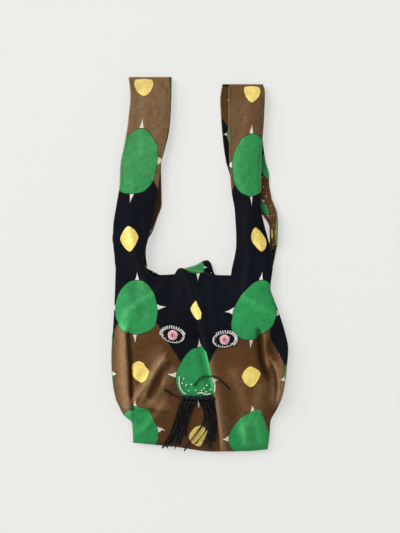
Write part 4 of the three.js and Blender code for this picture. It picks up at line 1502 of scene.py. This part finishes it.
# Muzzle: round beads, and three white cords of two twisted strands
muzzleBead = {"count": 11, "size": 3.2, "hole": 0.9, "rise": 1.5, "lean": 0.9}
seedBead = modelBead("seedBead", muzzleBead["size"], muzzleBead["hole"])
for i in range(muzzleBead["count"]):
    node = f"muzzle_bead_{i + 1}"
    low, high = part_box(node)
    spot = (low + high) / 2
    x, y = (spot.x - bagOrigin.x) / mm, (spot.y - bagOrigin.y) / mm
    level = (clothAt(x, y) + muzzleBead["rise"]) * mm
    lean = Matrix.Rotation(1.7 * i, 4, "Z") @ Matrix.Rotation(muzzleBead["lean"], 4, "X")
    bead = gather(f"muzzleBead{i + 1}", [(seedBead.data, Matrix.Translation((spot.x, spot.y, level)) @ lean)])
    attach(bead, "root")
    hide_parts(node)
    dress(bead, whiteBeads)
discard(seedBead)

muzzleCord = {
    "width": 2.4,
    "strand": 1.25,
    "corners": 14,
    "lobe": 0.8,
    "pitch": 4.2,
    "step": 0.35,
    "endShare": 0.6,
}
muzzleCords = {
    "muzzle_cord_left": [(-33, 38), (-33, 27), (-30.5, 17), (-26, 10), (-21, 6.6)],
    "muzzle_cord_right": [(27, 35), (29.6, 28), (30.5, 19), (29.5, 11)],
    "muzzle_cord_lower": [(-1, 7.6), (7, 9.2), (14, 5.8), (23, 7.4)],
}


def twistedOutline():
    section = []
    for i in range(muzzleCord["corners"]):
        turn = 2 * math.pi * i / muzzleCord["corners"]
        waist = abs(math.cos(turn)) ** muzzleCord["lobe"]
        lobe = between(muzzleCord["strand"], muzzleCord["width"], waist) / 2
        section.append((lobe * math.cos(turn) * mm, lobe * math.sin(turn) * mm))
    return section


cordSection = twistedOutline()
for node, places in muzzleCords.items():
    coarse = layOnCloth(places, muzzleCord["width"] / 2, muzzleCord["width"] / 2 + bag["stitchGap"], 0)
    line = []
    for a, b in zip(coarse, coarse[1:]):
        pieces = max(1, round((b - a).length / (muzzleCord["step"] * mm)))
        line += [a.lerp(b, i / pieces) for i in range(pieces)]
    line.append(coarse[-1])
    run = 0
    turns = [0]
    for a, b in zip(line, line[1:]):
        run += (b - a).length / mm
        turns.append(2 * math.pi * run / muzzleCord["pitch"])
    cord = tubeAlong(pieceName(node), line, cordSection, turns, muzzleCord["endShare"])
    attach(cord, "root")
    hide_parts(node)
    dress(cord, whiteCord)
print("muzzle sewn on")

# Goatee's roll: slices of a rolled band of leather, with a lace looped over it twice at each root. The slice
# and the loop are modelled 1 mm across, and each copy is scaled to its place.
roll = {
    "coreShare": 0.82,
    "slices": 12,
    "sliceOverlap": 1.02,
    "sliceSwell": 0.1,
    "sliceSway": 0.5,
    "capInset": 0.08,
    "loopWidth": 3.2,
    "loopSpacing": 1.7,
    "loopLean": 0.42,
    "loopSize": 1.04,
    "loopUneven": 0.16,
    "loopSway": 0.8,
    "loopReach": 0.46,
    "loopThickness": 0.05,
}
bpy.ops.mesh.primitive_cylinder_add(
    vertices=28, radius=0.5 * mm, depth=rollSize["length"] * mm, rotation=(0, math.pi / 2, 0),
    end_fill_type="NGON",
)
core = bpy.context.object
bpy.ops.object.transform_apply(rotation=True)
bpy.ops.object.mode_set(mode="EDIT")
bpy.ops.mesh.select_all(action="DESELECT")
bpy.ops.object.mode_set(mode="OBJECT")
for polygon in core.data.polygons:
    polygon.select = abs(polygon.normal.x) > 0.9
bpy.ops.object.mode_set(mode="EDIT")
bpy.ops.mesh.select_mode(type="FACE")
bpy.ops.mesh.inset(thickness=roll["capInset"] * mm)
bpy.ops.mesh.select_all(action="SELECT")
bpy.ops.mesh.subdivide(number_cuts=1)
bpy.ops.object.mode_set(mode="OBJECT")
bpy.ops.object.select_all(action="DESELECT")
bpy.ops.mesh.primitive_torus_add(
    major_segments=28, minor_segments=8, rotation=(0, math.pi / 2, 0),
    major_radius=roll["loopReach"] * mm, minor_radius=roll["loopThickness"] * mm,
)
loop = bpy.context.object
bpy.ops.object.transform_apply(rotation=True)


def rollSpot(x, y):
    edges = (-rollSize["width"] / 2, 0, rollSize["width"] / 2)
    rise = max(clothAt(rollPlace[0] + x, rollPlace[1] + dy) for dy in edges)
    return Matrix.Translation(fromRoll(x, y, rise + 2 * bag["stitchGap"] + rollSize["height"] / 2))


parts = []
for i in range(roll["slices"]):
    x = rollSize["length"] * ((i + 0.5) / roll["slices"] - 0.5)
    swell = roll["coreShare"] * (1 - roll["sliceSwell"] + roll["sliceSwell"] * math.sin(2.9 * i))
    length = roll["sliceOverlap"] / roll["slices"]
    size = Matrix.Diagonal((length, rollSize["width"] * swell, rollSize["height"] * swell, 1))
    parts.append((core.data, rollSpot(x, roll["sliceSway"] * math.sin(1.7 * i)) @ size))
roots = sorted(places[0][0] for places in lowLaces + topLaces)
for i, root in enumerate(roots):
    for turn in (0, 1):
        lean = Matrix.Rotation(roll["loopLean"] * math.sin(2.3 * i + 2.6 * turn), 4, "Z")
        grown = roll["loopSize"] + roll["loopUneven"] * math.sin(3.1 * i + 1.3 * turn)
        width = roll["loopWidth"] / (2 * roll["loopThickness"])
        size = Matrix.Diagonal((width, rollSize["width"] * grown, rollSize["height"] * grown, 1))
        place = rollSpot(root + roll["loopSpacing"] * turn, roll["loopSway"] * math.sin(1.9 * i))
        parts.append((loop.data, place @ lean @ size))
goateeRoll = gather("goateeRoll", parts)
discard(core, loop)
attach(goateeRoll, "root")
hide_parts("goatee_roll")
dress(goateeRoll, blackLeather)
print("goatee's roll made")


# Floor
bpy.ops.mesh.primitive_plane_add(size=studio["floorSize"], location=(0, 0, -studio["floorGap"]))
floor = bpy.context.object
floor.name = "paleFloor"
dress(floor, paperFinish.material)
